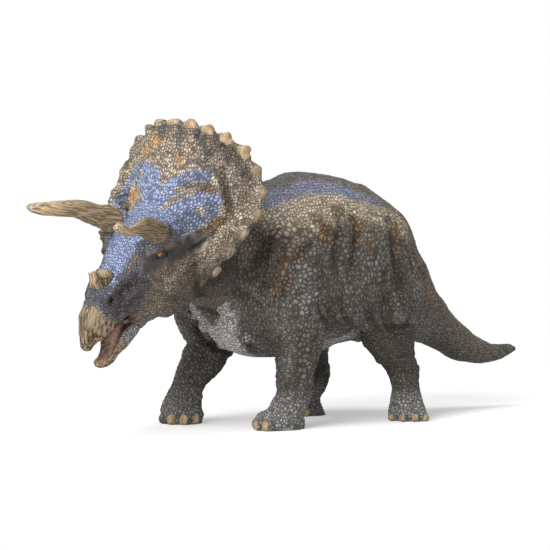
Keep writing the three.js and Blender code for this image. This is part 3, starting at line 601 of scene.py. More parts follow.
# Folds of the frill's front: from the rim inwards, and across
FRILL_FOLDS = [
    (2.4, -0.6, [(154, 127), (152, 140), (148, 156)]),
    (2.4, -0.6, [(168, 124), (166, 140), (162, 158)]),
    (2.6, -0.7, [(181, 125), (178, 142), (174, 160)]),
    (2.8, -0.8, [(199, 129), (195, 146), (188, 164)]),
    (2.8, -0.8, [(218, 136), (212, 152), (204, 168)]),
    (2.8, -0.8, [(237, 146), (230, 162), (220, 176)]),
    (2.6, -0.7, [(250, 163), (243, 178), (236, 192)]),
    (2.4, -0.6, [(256, 182), (248, 194), (240, 204)]),
    (3.0, 0.7, [(186, 140), (182, 158)]),
    (3.0, 0.7, [(206, 146), (200, 162)]),
    (3.0, 0.7, [(226, 156), (216, 172)]),
    (3.0, 0.6, [(243, 172), (234, 188)]),
    (2.2, -0.5, [(160, 200), (176, 192), (194, 186), (212, 186)]),
    (2.2, 0.5, [(166, 208), (178, 200), (192, 193), (204, 191)]),
    (2.0, -0.4, [(122, 208), (124, 226)]),
    (2.0, -0.4, [(127, 208), (129, 226)]),
]

# Paint of the body, the same on both flanks: paint, width, strength, run in px
BODY_PAINT = [
    ("sand", 10, 0.9, [(264, 212), (280, 211), (300, 210), (320, 206), (340, 203)]),
    ("sand", 8, 0.8, [(284, 218), (296, 222), (308, 216)]),
    ("sand", 7.0, 0.85, [(336, 202), (352, 205), (366, 209), (386, 217), (402, 225)]),
    ("lavender", 5.4, 0.95, [(256, 206), (262, 201), (283, 192), (305, 186), (331, 187), (350, 192)]),
    ("lavender", 3.2, 0.8, [(350, 193), (366, 197), (378, 202)]),
    # these four umber strokes: painted shade along the folds of the neck, shoulder and flank
    ("umber", 5.0, 0.8, [(254, 226), (266, 242), (262, 262), (254, 276)]),
    ("umber", 4.0, 0.5, [(338, 210), (343, 228), (337, 246), (334, 266)]),
    ("umber", 3.5, 0.5, [(354, 224), (352, 244), (350, 262)]),
    ("umber", 4.5, 0.6, [(390, 224), (392, 248), (398, 270), (406, 286)]),
    ("umber", 6.0, 0.4, [(318, 270), (330, 286), (334, 300)]),
    # painted shade in the fold round the thigh
    ("umber", 4.0, 0.7, [(386, 300), (386, 318), (394, 332), (406, 330)]),
    ("brown", 6.0, 0.6, [(286, 246), (288, 262), (284, 276)]),
    ("ochre", 2.6, 0.7, [(316, 219), (321, 221)]),
    ("ochre", 2.6, 0.75, [(327, 228), (323, 238)]),
    ("ochre", 2.8, 0.7, [(353, 218), (358, 224)]),
    ("ochre", 1.8, 0.55, [(361, 228), (361, 242)]),
    ("ochre", 2.6, 0.75, [(370, 246), (371, 250)]),
    ("ochre", 1.9, 0.75, [(396, 226), (398, 238), (398, 252)]),
    ("ochre", 2.6, 0.6, [(298, 230), (302, 233)]),
    ("ochre", 2.0, 0.5, [(283, 256), (293, 259), (300, 256)]),
    ("ochre", 3.0, 0.6, [(279, 283), (276, 290)]),
    ("ochre", 2.2, 0.45, [(284, 268), (284, 276)]),
    ("ochre", 2.2, 0.45, [(391, 272), (393, 280)]),
    ("ochre", 2.2, 0.5, [(338, 208), (341, 212)]),
    ("silver", 3.5, 0.35, [(372, 262), (376, 272)]),
    # the pale chest, lighter still as painted light where the head's shadow falls on it
    ("chest", 5.6, 0.95, [(184, 298), (194, 312), (206, 328), (222, 344), (246, 356)]),
    ("dusk", 6.0, 0.85, [(226, 266), (230, 284), (238, 300), (250, 318), (264, 334), (278, 344)]),
    ("dusk", 5.0, 0.6, [(276, 350), (278, 366), (280, 380)]),
    ("dusk", 5.0, 0.6, [(372, 292), (376, 308), (380, 324)]),
    # painted shade on the low rump, which faces away from the lamps
    ("umber", 4.0, 0.5, [(396, 276), (402, 290), (410, 304)]),
    ("umber", 3.0, 0.35, [(376, 250), (378, 266), (380, 280)]),
    # painted shade on the low rump, which faces away from the lamps
    ("umber", 3.5, 0.4, [(396, 284), (404, 298)]),
    ("silver", 4.5, 0.3, [(300, 268), (310, 286), (308, 306)]),
    ("silver", 2.0, 0.5, [(222, 310), (232, 324), (246, 338)]),
    ("pale", 4.0, 0.7, [(322, 346), (336, 341), (350, 336)]),
    ("ochre", 3.0, 0.5, [(420, 282), (436, 304), (452, 322), (468, 336)]),
    ("brown", 4.5, 0.6, [(416, 276), (432, 300), (448, 318), (470, 338), (488, 350)]),
]

# Patches of the broadest plates, the same on both flanks: width, run in px
PLATE_PATCHES = [
    (9, [(292, 236), (296, 252), (300, 270), (300, 288)]),
    (6, [(320, 236), (336, 246), (352, 250)]),
    (4, [(372, 268), (378, 278)]),
    (3.5, [(306, 304), (305, 330), (304, 356), (302, 380)]),
    (4, [(396, 306), (398, 296)]),
]

# Patches of fine or wrinkled scales, the same on both flanks: width, how much narrower the pattern
# lies along each axis, run in px
WRINKLE_PATCHES = [
    (7, (1.3, 1.3, 1.1), [(184, 298), (194, 312), (206, 328), (222, 344), (246, 354)]),
    (5.5, (0.62, 0.62, 1.4), [(284, 352), (282, 370), (285, 388)]),
    (4, (1.4, 1.4, 0.5), [(374, 292), (378, 306), (382, 320)]),
    (4, (1.4, 1.4, 0.5), [(328, 262), (332, 276), (336, 290)]),
]

# Paint of the head, the same on both sides of it
HEAD_PAINT = [
    ("blue", 7.0, 0.9, [(128, 244), (120, 252), (112, 262), (106, 272)]),
    ("blue", 5.0, 0.8, [(118, 240), (134, 242), (146, 244)]),
    ("slate", 6.0, 0.9, [(112, 306), (118, 298), (130, 290), (142, 282)]),
    ("slate", 4.0, 0.7, [(122, 312), (132, 306), (140, 300)]),
    ("slate", 3.0, 0.7, [(148, 262), (136, 274), (126, 284)]),
    ("blue", 3.0, 0.7, [(104, 280), (98, 292), (92, 298)]),
    ("slate", 3.0, 0.5, [(86, 300), (96, 302), (104, 299)]),
    ("slate", 2.6, 0.6, [(105, 292), (105, 299), (104, 305)]),
    # these two: painted shade in the hollow behind the nostril and in the nostril's pit
    ("umber", 4.0, 0.7, [(118, 294), (124, 288), (134, 283)]),
    ("umber", 1.8, 1.0, [(111.5, 305), (112, 301), (114, 297)]),
    ("blue", 1.0, 0.6, [(110, 295), (107.5, 299), (108, 304)]),
    ("silver", 0.6, 0.7, [(94, 303), (99, 309), (104, 316), (112, 321), (121, 323)]),
    # smooth, scale-less skin round the eye; its dark tone is painted shade below the brow ridge
    ("smooth", 3.6, 1.0, [(149, 265), (154, 261), (166, 257), (178, 251), (192, 244), (198, 241)]),
    ("brown", 1.6, 0.8, [(140, 258), (146, 252), (154, 248)]),
    ("cream", 4.0, 0.9, [(238, 216), (230, 228), (220, 240), (208, 252), (200, 264)]),
    ("brown", 7.0, 0.7, [(196, 272), (184, 278), (172, 284), (156, 292)]),
    ("slate", 5.0, 0.6, [(118, 300), (128, 296), (138, 290)]),
    ("cream", 3.0, 0.5, [(190, 262), (180, 272), (170, 282)]),
    ("grey", 4.0, 0.7, [(200, 292), (186, 296), (172, 300)]),
    # these three: painted shadow of the frill's lower lobe on the neck
    ("dusk", 6.5, 0.95, [(208, 290), (216, 286), (226, 278), (230, 268)]),
    ("umber", 4.5, 0.8, [(204, 280), (212, 277), (222, 272), (228, 262)]),
    ("umber", 2.0, 0.8, [(199, 277), (197, 286), (200, 296)]),
    ("slate", 4.0, 0.6, [(88, 296), (96, 292), (104, 288)]),
    ("slate", 2.6, 0.85, [(142, 246), (137, 257), (131, 267), (122, 278)]),
    ("blue", 2.4, 0.9, [(132, 211), (142, 210), (152, 212), (162, 217), (167, 223)]),
    ("slate", 2.6, 0.8, [(170, 228), (174, 235), (180, 240)]),
    ("brown", 1.1, 0.8, [(137, 254), (133, 263), (127, 271)]),
    # painted shade on the snout's side, which faces away from the lamps
    ("umber", 5.0, 0.5, [(118, 302), (128, 296), (138, 288)]),
    ("silver", 3.0, 0.55, [(134, 331), (140, 326), (148, 321), (158, 317)]),
]

# Paint of the frill's front
FRILL_PAINT = [
    ("blue", 3.0, 0.95, [(143, 168), (149, 174), (153, 186), (152, 198)]),
    ("blue", 1.9, 0.9, [(152, 168), (157, 174), (156, 184)]),
    ("blue", 1.8, 0.9, [(139, 168), (134, 176), (127, 186), (123, 197), (119, 206)]),
    ("blue", 4.2, 0.95, [(148, 202), (160, 199), (176, 200), (194, 200), (208, 201)]),
    ("blue", 2.8, 0.95, [(158, 194), (168, 186), (182, 179), (196, 175), (205, 176)]),
    ("blue", 3.4, 0.95, [(142, 210), (154, 206), (166, 206), (180, 208)]),
    ("blue", 3.0, 0.95, [(172, 222), (184, 219), (197, 211), (209, 204), (217, 200)]),
    ("blue", 3.0, 0.95, [(178, 228), (192, 224), (205, 215), (212, 208)]),
    ("blue", 3.0, 0.95, [(142, 214), (154, 218), (168, 217)]),
    ("blue", 3.4, 0.95, [(124, 208), (126, 220), (126, 232)]),
    ("blue", 3.0, 0.85, [(134, 212), (136, 224), (134, 236)]),
    ("slate", 4.0, 0.4, [(122, 214), (128, 222), (127, 234)]),
    # these two: slate over the blue as painted shade, where the frill turns away from the lamps
    ("slate", 3.0, 0.55, [(184, 182), (194, 177), (206, 178)]),
    ("slate", 4.0, 0.55, [(182, 226), (196, 218), (210, 208)]),
    ("cream", 1.5, 1.0, [(164, 207), (175, 200), (187, 194), (194, 191)]),
    ("brown", 0.9, 0.7, [(167, 206), (176, 200), (186, 195)]),
    ("brown", 2.0, 0.8, [(200, 188), (208, 187), (214, 191)]),
    ("blue", 2.6, 0.95, [(140, 171), (141, 180), (146, 190), (146, 200)]),
    ("blue", 2.6, 0.95, [(126, 204), (134, 208), (142, 206)]),
    ("blue", 3.0, 0.95, [(137, 172), (138, 180)]),
    ("blue", 3.0, 0.95, [(141, 176), (143, 184)]),
    ("blue", 3.0, 0.95, [(119, 203), (126, 207), (136, 206), (143, 201)]),
    # the cream oval, lighter than its own colour as painted light, since its fold faces away from the
    # lamps
    ("ivory", 3.8, 1.0, [(134.5, 191), (134.5, 197)]),
    ("orange", 3.2, 1.0, [(134, 194), (134, 198)]),
    ("cream", 1.3, 0.9, [(200, 209), (203, 212)]),
    ("cream", 1.2, 0.9, [(141, 171), (143, 175)]),
    ("cream", 1.1, 0.8, [(137, 210), (139, 216)]),
    ("orange", 2.0, 0.8, [(152, 142), (160, 140)]),
    ("orange", 1.8, 0.7, [(143, 152), (150, 149)]),
    ("orange", 1.6, 0.5, [(178, 156), (181, 162)]),
    ("ochre", 2.4, 0.9, [(213, 228), (221, 222)]),
    ("ochre", 1.8, 0.7, [(200, 234), (207, 231)]),
    ("ochre", 2.0, 0.7, [(226, 194), (229, 206)]),
    ("ochre", 1.8, 0.5, [(205, 190), (211, 188)]),
    # painted shade along a pressed-in fold of the frill
    ("umber", 2.0, 0.7, [(222, 176), (225, 190), (231, 204), (230, 216)]),
    ("spine", 2.4, 0.75, [(180, 130), (180, 144)]),
    ("spine", 2.6, 0.75, [(198, 134), (203, 144), (210, 152)]),
    ("spine", 2.6, 0.75, [(218, 142), (226, 152)]),
    ("spine", 2.6, 0.7, [(236, 150), (240, 166)]),
    ("spine", 2.0, 0.6, [(164, 128), (160, 136)]),
    ("spine", 2.0, 0.6, [(196, 160), (206, 166), (216, 172)]),
    ("brown", 2.4, 0.6, [(248, 176), (244, 196), (240, 208)]),
    ("brown", 6.0, 0.4, [(214, 146), (230, 158), (242, 176), (246, 192)]),
    ("umber", 3.0, 0.45, [(206, 134), (222, 144), (236, 156), (246, 172)]),
    ("umber", 2.4, 0.4, [(186, 130), (196, 134)]),
    ("umber", 2.0, 0.5, [(160, 130), (170, 128)]),
]

# The frill's rim from the middle of the crown down to the cheek spike, as the source has it:
# sideways in half widths, back in setbacks, up in heights
FRILL_HALF_WIDTH = 34.5
FRILL_HEIGHT = 42.5
FRILL_SETBACK = 14.5
RIM_SHARES = [
    (0, 1, 1), (0.16, 1, 1), (0.3, 1, 0.985), (0.45, 1, 0.955), (0.6, 0.99, 0.9), (0.74, 0.98, 0.82),
    (0.87, 0.95, 0.71), (0.96, 0.85, 0.585), (1, 0.62, 0.47), (0.985, 0.25, 0.37), (0.93, -0.2, 0.28),
    (0.85, -0.7, 0.175), (0.76, -1.15, 0.07), (0.68, -1.4, 0),
]
KNOBS = 20
KNOB_REACH = 3.2
LOW_KNOB_REACH = 0.72 * KNOB_REACH
KNOB_SPREAD, KNOB_FLANK, KNOB_HEIGHT = 1.7, 2.5, 0.9  # how each is broadened along the rim
LOW_KNOBS = (6, 8)  # at the near end of the row and at the far one, lying close to the rim

# The horny beak's outline, px, the same on both sides of the head
BEAK_OUTLINE = [
    (60, 309), (82, 309.5), (86, 304.7), (92, 306), (97.5, 308), (100.7, 313), (105, 319), (113, 322),
    (120, 323.5), (122, 326), (117, 329), (110, 334), (104, 342), (96, 366), (60, 366),
]

BEAK_RUN = np.array((-0.1, 0.06, -0.99))  # the way of its fibres, down to the tip
BEAK_FIBRE, BEAK_FIBRE_LENGTHWISE = 0.5, 0.04  # how fast they change across and along it

NOSE_HORN_CRACKS = [
    [(97, 274), (99.5, 278), (103, 279), (108, 278.5)],
    [(99.5, 278), (97, 283)],
    [(101, 279), (104, 285)],
]

# Eyes in the head's frame: the ball's middle and radius, how far the lids reach and clear it
EYE_SETBACK = -22.4
EYE_SPREAD = 11.6
EYE_RISE = 13.4
EYE_RADIUS = 2.2
LID_REACH = 4.4
LID_GAP = 0.12
IRIS_DEPTH = (2.04, 2.08)  # from the ball's middle, where the iris begins
EYE_PAINT = {
    "amber": (*tone(128, 58, 14), 1),
    "gold": (*tone(206, 118, 40), 1),
    "slit": (*tone(16, 12, 8), 1),
    "ball": (*tone(50, 47, 43), 1),
}

# Feet: middle of the sole, half its length and width, side, the nails' turns in right angles,
# their radius, and their upper end above the ground
FEET = {
    "front_left_leg": ((-21.8, -17.4), (9.7, 7.7), -1, (-0.55, 0.0, 0.36), 1.75, 1.9),
    "front_right_leg": ((-37.9, 20.8), (7.4, 8.1), 1, (0.36, 0.68, 1.1), 1.5, 2.5),
    "rear_left_leg": ((35.8, -18.8), (6.5, 7.5), -1, (0.05, 0.4, 0.75, 1.1), 1.4, 1.4),
    "rear_right_leg": ((17.9, 19.2), (6.5, 7.5), 1, (-0.5, -0.15, 0.2, 0.55), 1.4, 1.4),
}
NAIL_FOOT = 1.0  # of a nail's lower end above the ground
NAIL_INSET = 0.6  # of a nail's middle from the sole's edge
NAIL_HEIGHT = 0.5
TOE_RISE, TOE_RADIUS, TOE_HEIGHT = 3.6, 4.2, 0.35  # the swelling above each nail


def nail_places():
    """Both ends of each toenail, the way that it points and its radius."""
    for (x, y), (long, wide), _, turns, reach, top in FEET.values():
        for turn in turns:
            angle = turn * math.pi / 2
            way = np.array((-math.cos(angle), -math.sin(angle), 0))
            for rise in (NAIL_FOOT, top):
                ahead, aside = way[0] * (long - NAIL_INSET), way[1] * (wide - NAIL_INSET)
                yield np.array((x + ahead, y + aside, rise)), way, reach


def knob_places():
    """The knobs, evenly spaced along the frill's rim: the place of each, the way out, the way along
    and whether it lies low."""
    half = [(side * FRILL_HALF_WIDTH, back * FRILL_SETBACK, up * FRILL_HEIGHT)
            for side, back, up in RIM_SHARES]
    rim = np.array([(b, -s, u) for s, b, u in half[:0:-1]] + [(b, s, u) for s, b, u in half])
    length = np.concatenate(([0], np.cumsum(np.linalg.norm(np.diff(rim, axis=0), axis=1))))
    for k in range(KNOBS):
        at = (k + 1) / (KNOBS + 1) * length[-1]
        local = Vector([np.interp(at, length, rim[:, axis]) for axis in range(3)])
        outward = Vector((0, local.y, local.z - 0.4 * FRILL_HEIGHT)).normalized()
        ahead = Vector([np.interp(at + 1, length, rim[:, axis]) for axis in range(3)]) - local
        low = k < LOW_KNOBS[0] or k >= KNOBS - LOW_KNOBS[1]
        yield (np.array(in_head(*local)), np.array(HEAD_TURN @ outward),
               np.array(HEAD_TURN @ ahead.normalized()), low)


# Balls that fill the body's hollow and the neck's socket from inside: middle and radii
BODY_BALLS = [((3.5, FIGURE_MIDDLE, 62), (38, 24, 22)), ((-38, FIGURE_MIDDLE, 62), (16, 9, 9))]
BROW_HORNS = (("brow_horn_left", -1, 20.2), ("brow_horn_right", 1, 21.4))  # side and rise of the root


def whole_skin():
    """Body, head, tail and legs as one skin, so that no seam shows between them."""
    whole = merged_copies(SKIN_NODES, SWELL)
    for middle, radii in BODY_BALLS:
        filled(whole, middle, radii)
    for _, side, rise in BROW_HORNS:
        filled(whole, in_head(-19, side * 9.2, rise - 0.6), (4.6, 4.6, 4.6))
    filled(whole, in_head(-41, 0, 8.4), (5, 2.6, 3.2))
    return remeshed(stood(whole, "skin"), SKIN_VOXEL)


def near_nodes(piece):
    """For each vertex of the skin, which CAD node lies nearest, as its place in SKIN_NODES."""
    tree, shape = geometry_tree("nearest node")
    for name in SKIN_NODES:
        solid = node(tree, "GeometryNodeObjectInfo", {"Object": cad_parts[name]})
        away = node(tree, "GeometryNodeProximity", {0: solid.outputs["Geometry"]})
        told = {"Geometry": shape, "Name": "near_" + name, "Value": away.outputs["Distance"]}
        shape = node(tree, "GeometryNodeStoreNamedAttribute", told,
                     data_type="FLOAT", domain="POINT").outputs[0]
    put_through(piece, tree, shape)
    layers = piece.data.attributes
    away = [array_of(layers["near_" + name].data, "value", np.float32) for name in SKIN_NODES]
    for name in SKIN_NODES:
        layers.remove(layers["near_" + name])
    return np.argmin(away, 0)


def head_places(skin):
    """The skin's places in the head's frame."""
    return (skin.place - HEAD_ORIGIN) @ HEAD_AXES


def sculpted(skin, owner):
    """Presses the folds into the skin and raises its ridges."""
    picture = Picture(skin)
    for folds, on_head in ((BODY_FOLDS, False), (HEAD_FOLDS, True)):
        for width, height, points in folds:
            for trail in picture.both_sides(points, on_head):
                skin.stroke(trail, width, height)
    for width, height, points in FRILL_FOLDS:
        skin.stroke(picture.trail(points, 3), width, height)
    for name in LEGS:
        wrinkled_leg(skin, owner == SKIN_NODES.index(name), name)
    for place, way, reach in nail_places():
        skin.stroke(np.array([place + (-way[0], -way[1], TOE_RISE)]), TOE_RADIUS, TOE_HEIGHT)
        skin.stroke(np.array([place - way * 1.5, place + way * 2.5]), reach * 1.2, NAIL_HEIGHT)
    for place, _, along, _ in knob_places():
        for side in (-1, 1):
            skin.stroke((place + along * side * KNOB_SPREAD)[None], KNOB_FLANK, KNOB_HEIGHT)
    # low rolling swells over the body and the tail
    swelling = (owner == TORSO) | (owner == TAIL)
    skin.lift[swelling] += 0.22 * mottle(skin.place[swelling], 7)
    return picture


def lidded(skin, owner):
    """Draws the lids over each eye, down to a level slit, clear of the ball."""
    for side in (-1, 1):
        off = head_places(skin) - (EYE_SETBACK, side * EYE_SPREAD, EYE_RISE)
        away = np.linalg.norm(off, axis=1)
        near = (away < LID_REACH) & (owner == HEAD)
        drawn = off[near]
        drawn[:, 2] *= 1 - 0.5 * eased(away[near], LID_REACH, EYE_RADIUS + 0.6)
        length = np.linalg.norm(drawn, axis=1)
        clear = EYE_RADIUS + LID_GAP
        drawn *= (np.maximum(length, clear) / np.maximum(length, HAIR))[:, None]
        skin.place[near] += (drawn - off[near]) @ HEAD_AXES.T


CREASE_STEP, CREASE_WIDTH = 3.1, 0.55
WRIST_FOOT, WRIST_TOP = (9, 12), (31, 24)  # above the ground, where the creases fade in and out


def wrinkled_leg(skin, own, name):
    """Rings of creases round the wrist, and broader bulges above, on one leg."""
    place = skin.place[own]
    height = place[:, 2]
    side = FEET[name][2]
    levels = np.arange(2, height.max() - 4, 2)
    rings = [place[np.abs(height - level) < 2].mean(0) for level in levels]
    middle_x, middle_y, _ = np.array(rings).T
    ahead = -(place[:, 0] - np.interp(height, levels, middle_x))
    outward = side * (place[:, 1] - np.interp(height, levels, middle_y))
    round_it = np.arctan2(outward, ahead)
    ring = height + 0.8 * np.sin(round_it * 2 + 0.7) + 0.7 * mottle(place, 5)
    crease = -np.exp(-((ring % CREASE_STEP - CREASE_STEP / 2) / CREASE_WIDTH) ** 2)
    wrist = eased(height, *WRIST_FOOT) * eased(height, *WRIST_TOP)
    skin.lift[own] += 0.35 * crease * wrist * (0.6 + 0.4 * mottle(place, 8))
    skin.lift[own] += 0.3 * mottle(place, 4) * eased(height, 8, 14)


# The frill lies above and behind the first two in the head's frame, and before the third in the
# figure's
FRILL_FOOT, FRILL_START = 14, -14
FRILL_END = -26
FRONT_FACING = 0.35  # the frill's front faces back no more than this
SLICES, SLICE_START = 260, -110  # of 1 mm, along the figure

# Where the coats fade in, from nothing to full: below the top of the back, and above the ground
BACK_BROWN = (26, 12)
BACK_LINE = (3.4, 1.6)
BACK_LINE_END = 52
BELLY_PALE = (44, 26)
FOOT_PALE = (16, 6)
# The bluish snout, the beak and the palate in the head's frame
SNOUT_BACK, SNOUT_HALF, SNOUT_FOOT = -16, 13, 3
SNOUT_FACING = (0.25, 0.7)
BEAK_BACK = -30
PALATE_BACK, PALATE_FRONT, PALATE_HALF = -26, -51, 5.4
# Larger scales lie below the back and above the belly, and on the shoulder
FLANK_DROP, FLANK_FOOT, SHOULDER_BACK = 13, 40, -28
# How much narrower the scales lie than their pattern, along each axis; below 1 draws them out
ROWS_FACING, FRILL_ROWS, FRILL_REST = 0.42, (0.3, 1.15, 1.15), 1.1
HEAD_NARROW, FOOT_NARROW, FLANK_NARROW = 1.18, 1.25, (1.15, 1.15, 0.8)
FOOT_TOP = 14


class Regions:
    """The parts of the figure that take a paint or a pattern of their own, vertex by vertex."""

    def __init__(self, skin, owner):
        place = skin.place
        self.owner = owner
        self.local = head_places(skin)
        self.height = place[:, 2]
        self.normal = skin.normals()
        self.facing = self.normal @ HEAD_AXES
        self.trunk = owner == TORSO
        self.head = owner == HEAD
        self.middle = self.trunk | (owner == TAIL)
        behind = (self.local[:, 2] > FRILL_FOOT) & (self.local[:, 0] > FRILL_START)
        self.frill = self.head & behind & (place[:, 0] < FRILL_END)
        self.patch = mottle(place, 6)
        # how far a place lies below the top of the back, slice by slice
        spine = np.full(SLICES, -np.inf)
        column = np.clip(place[:, 0] - SLICE_START, 0, SLICES - 1).astype(int)
        np.maximum.at(spine, column[self.middle], self.height[self.middle])
        self.drop = spine[column] - self.height


def coated(skin, on):
    """The broad coats of the body and the head."""
    front = on.frill & (on.facing[:, 0] < FRONT_FACING)
    skin.cover(eased(on.drop + 4 * on.patch, *BACK_BROWN) * on.trunk, "brown")
    skin.cover(0.5 * eased(mottle(skin.place, 4), 0, 0.6) * on.trunk, "umber")
    belly = eased(on.height, *BELLY_PALE) * eased(-on.normal[:, 2], -0.2, 0.7)
    skin.cover(0.4 * belly * on.trunk, "silver")
    skin.cover(0.9 * on.head, "brown")
    skin.cover(0.9 * (on.head & (on.local[:, 0] > 0) & ~on.frill), "grey")
    skin.cover(0.85 * front, "cream")
    skin.cover(0.45 * eased(mottle(skin.place, 3.2), -0.1, 0.5) * front, "brown")
    skin.cover(0.8 * (on.frill & ~front), "brown")
    x, y, z = on.local.T
    snout = on.head & (x < SNOUT_BACK) & (np.abs(y) < SNOUT_HALF) & (z > SNOUT_FOOT)
    skin.cover(0.8 * eased(on.facing[:, 2], *SNOUT_FACING) * snout, "blue")


def brushed(skin, on, picture):
    """Every painted stroke, in the order in which they were laid."""
    # painted shade: umber along every pressed-in fold of the body
    for width, height, points in BODY_FOLDS:
        if height < 0:
            for run in picture.both_sides(points, False):
                skin.brush(run, width / 2, "umber", FOLD_SHADE, ~on.head)
    for paint, width, strength, points in BODY_PAINT:
        for run in picture.both_sides(points, False):
            skin.brush(run, width, paint, strength, ~on.head)
    before = on.middle & (skin.place[:, 0] < BACK_LINE_END)
    skin.cover(0.9 * eased(on.drop, *BACK_LINE) * before, "spine")
    for paint, width, strength, points in HEAD_PAINT:
        for run in picture.both_sides(points, True):
            where, away = skin.brush(run, width, paint, strength, on.head)
            if paint == "smooth":
                skin.relief[where] *= 1 - 0.85 * eased(away, 1, 0.5)
    for paint, width, strength, points in FRILL_PAINT:
        skin.brush(picture.trail(points, 3), width, paint, strength, on.frill)
    for name in LEGS:
        leg = on.owner == SKIN_NODES.index(name)
        far = name.endswith("right_leg")
        skin.cover(0.55 * leg * eased(mottle(skin.place, 5), -0.4, 0.5), "umber")
        # painted shade: the rear legs, which face away from the lamps, darker
        if name.startswith("rear"):
            skin.cover(0.75 * leg, "dusk")
            skin.cover(0.6 * leg, "umber")
        # painted shade on the legs of the far side
        if far:
            skin.cover(0.6 * leg, "dusk")
        foot = leg * eased(on.height + 2 * on.patch, *FOOT_PALE)
        # pale feet, less pale on the far side as painted shade
        skin.cover((0.45 if far else 0.8) * foot, "silver")


def sized(skin, on, picture):
    """How large the scales are: fine below and on the back, larger between, plates in patches."""
    for name in LEGS:
        size = LEG_SIZE if name.startswith("front") else FINE_SIZE
        skin.size[on.owner == SKIN_NODES.index(name)] = size
    skin.size[on.owner == TAIL] = TAIL_SIZE
    flank = (on.drop + 3 * mottle(skin.place, 3) > FLANK_DROP) & (on.height + 3 * on.patch >= FLANK_FOOT)
    skin.size[on.trunk] = LEG_SIZE * flank[on.trunk]
    skin.size[on.trunk & (skin.place[:, 0] < SHOULDER_BACK)] = LEG_SIZE
    for width, points in PLATE_PATCHES:
        for run in picture.both_sides(points, False):
            skin.size[skin.patch(run, width, 0.8)] = PLATE_SIZE


def bare_horn(skin, on):
    """The knobs, the nails, the beak and the palate, which have no scales."""
    for place, outward, _, low in knob_places():
        reach = LOW_KNOB_REACH if low else KNOB_REACH
        where, away, _ = skin.near(np.array([place + outward]), reach)
        bare = eased(away, 1, 0.8) * eased((skin.place[where] - place) @ outward, 0.2, 1.0)
        skin.cover(bare, "tan", where)
        skin.cover(bare * 0.55 * low, "brown", where)
        skin.relief[where] *= 1 - bare
        skin.grain[where] = np.maximum(skin.grain[where], 0.5 * bare)
    for place, way, reach in nail_places():
        where, away, _ = skin.near(np.array([place - way * 2.5, place + way * 4]), reach)
        covered = eased(away, 1, 0.85)
        skin.cover(covered, "tan", where)
        skin.relief[where] *= 1 - covered
        skin.grain[where] = np.maximum(skin.grain[where], 0.6 * covered)

    near_side = on.local * (1, -1, 1)
    near_side[:, 1] = -np.abs(on.local[:, 1])
    shown = seen_at(near_side @ HEAD_AXES.T + HEAD_ORIGIN)
    x, y, _ = on.local.T
    beak = on.head & (x < BEAK_BACK) & enclosed(shown, BEAK_OUTLINE)
    skin.cover(beak, "beak")
    skin.relief *= 1 - beak
    skin.grain = np.maximum(skin.grain, beak)
    along = (skin.place @ BEAK_RUN)[:, None] * BEAK_RUN
    skin.grain_place[:] = BEAK_FIBRE * (skin.place - along) + BEAK_FIBRE_LENGTHWISE * along
    palate = on.head & (x < PALATE_BACK) & (on.facing[:, 2] < -0.3) & (np.abs(y) < PALATE_HALF)
    skin.cover(0.95 * (palate & (x > PALATE_FRONT)), "mouth")
    skin.relief[palate] *= 0.2


def laid(skin, on, picture):
    """How the scales lie: in rows on the frill, upright on the flanks, and as wrinkles in patches."""
    skin.scale_place[:] = skin.place
    rows = on.frill & (np.abs(on.facing[:, 0]) > ROWS_FACING)
    skin.scale_place[rows] = on.local[rows] * FRILL_ROWS
    skin.scale_place[on.frill & ~rows] *= FRILL_REST
    skin.scale_place[on.head & ~on.frill] *= HEAD_NARROW
    larger = skin.size == LEG_SIZE
    skin.scale_place[larger & (on.height + on.patch < FOOT_TOP)] *= FOOT_NARROW
    skin.scale_place[larger & ~on.head] *= FLANK_NARROW
    for width, stretch, points in WRINKLE_PATCHES:
        for run in picture.both_sides(points, False):
            where = skin.patch(run, width, 0.85)
            skin.size[where] = FINE_SIZE
            skin.scale_place[where] = skin.place[where] * stretch


SCALE_SHARES = ("size", "relief", "grain")


def stored(skin):
    """Keeps the paint with the mesh, for its material to read."""
    clear = np.ones((len(skin.size), 1))
    layers = [("scale_" + name, "FLOAT", "value", getattr(skin, name)) for name in SCALE_SHARES]
    layers += [
        ("groove_paint", "FLOAT_COLOR", "color", np.hstack((skin.groove, clear))),
        ("top_paint", "FLOAT_COLOR", "color", np.hstack((skin.top, clear))),
        ("grain_place", "FLOAT_VECTOR", "vector", skin.grain_place),
        ("scale_place", "FLOAT_VECTOR", "vector", skin.scale_place * MM),
    ]
    for name, kind, key, values in layers:
        layer = skin.piece.data.attributes.new(name, kind, "POINT")
        layer.data.foreach_set(key, values.astype(np.float32).ravel())


def kept_value(tree, name, kind="FLOAT"):
    """What a geometry tree reads of the paint kept with the mesh."""
    return node(tree, "GeometryNodeInputNamedAttribute", {"Name": name}, data_type=kind).outputs[0]


def raised_scales(piece, height):
    """Raises the scales out of the mesh."""
    tree, shape = geometry_tree("raised scales")
    size = kept_value(tree, "scale_size")
    top, share = scale_pattern(tree, kept_value(tree, "scale_place", "FLOAT_VECTOR"), size)
    swing = math_of(tree, "MULTIPLY_ADD", share, 0.5, math_of(tree, "SUBTRACT", top, 0.75))
    tall = ramp_of(tree, size, 0.2, 0.8, 0.3, 1.0)
    tall = math_of(tree, "MULTIPLY", tall, kept_value(tree, "scale_relief"))
    far = math_of(tree, "MULTIPLY", math_of(tree, "MULTIPLY", swing, tall), height * MM)
    normal = node(tree, "GeometryNodeInputNormal").outputs[0]
    offset = node(tree, "ShaderNodeVectorMath", {0: normal, "Scale": far}, operation="SCALE")
    moved = node(tree, "GeometryNodeSetPosition", {"Geometry": shape, "Offset": offset.outputs[0]})
    return put_through(piece, tree, moved.outputs[0])


CUT = "cut_"  # before a node's name, on the materials that mark the cuts


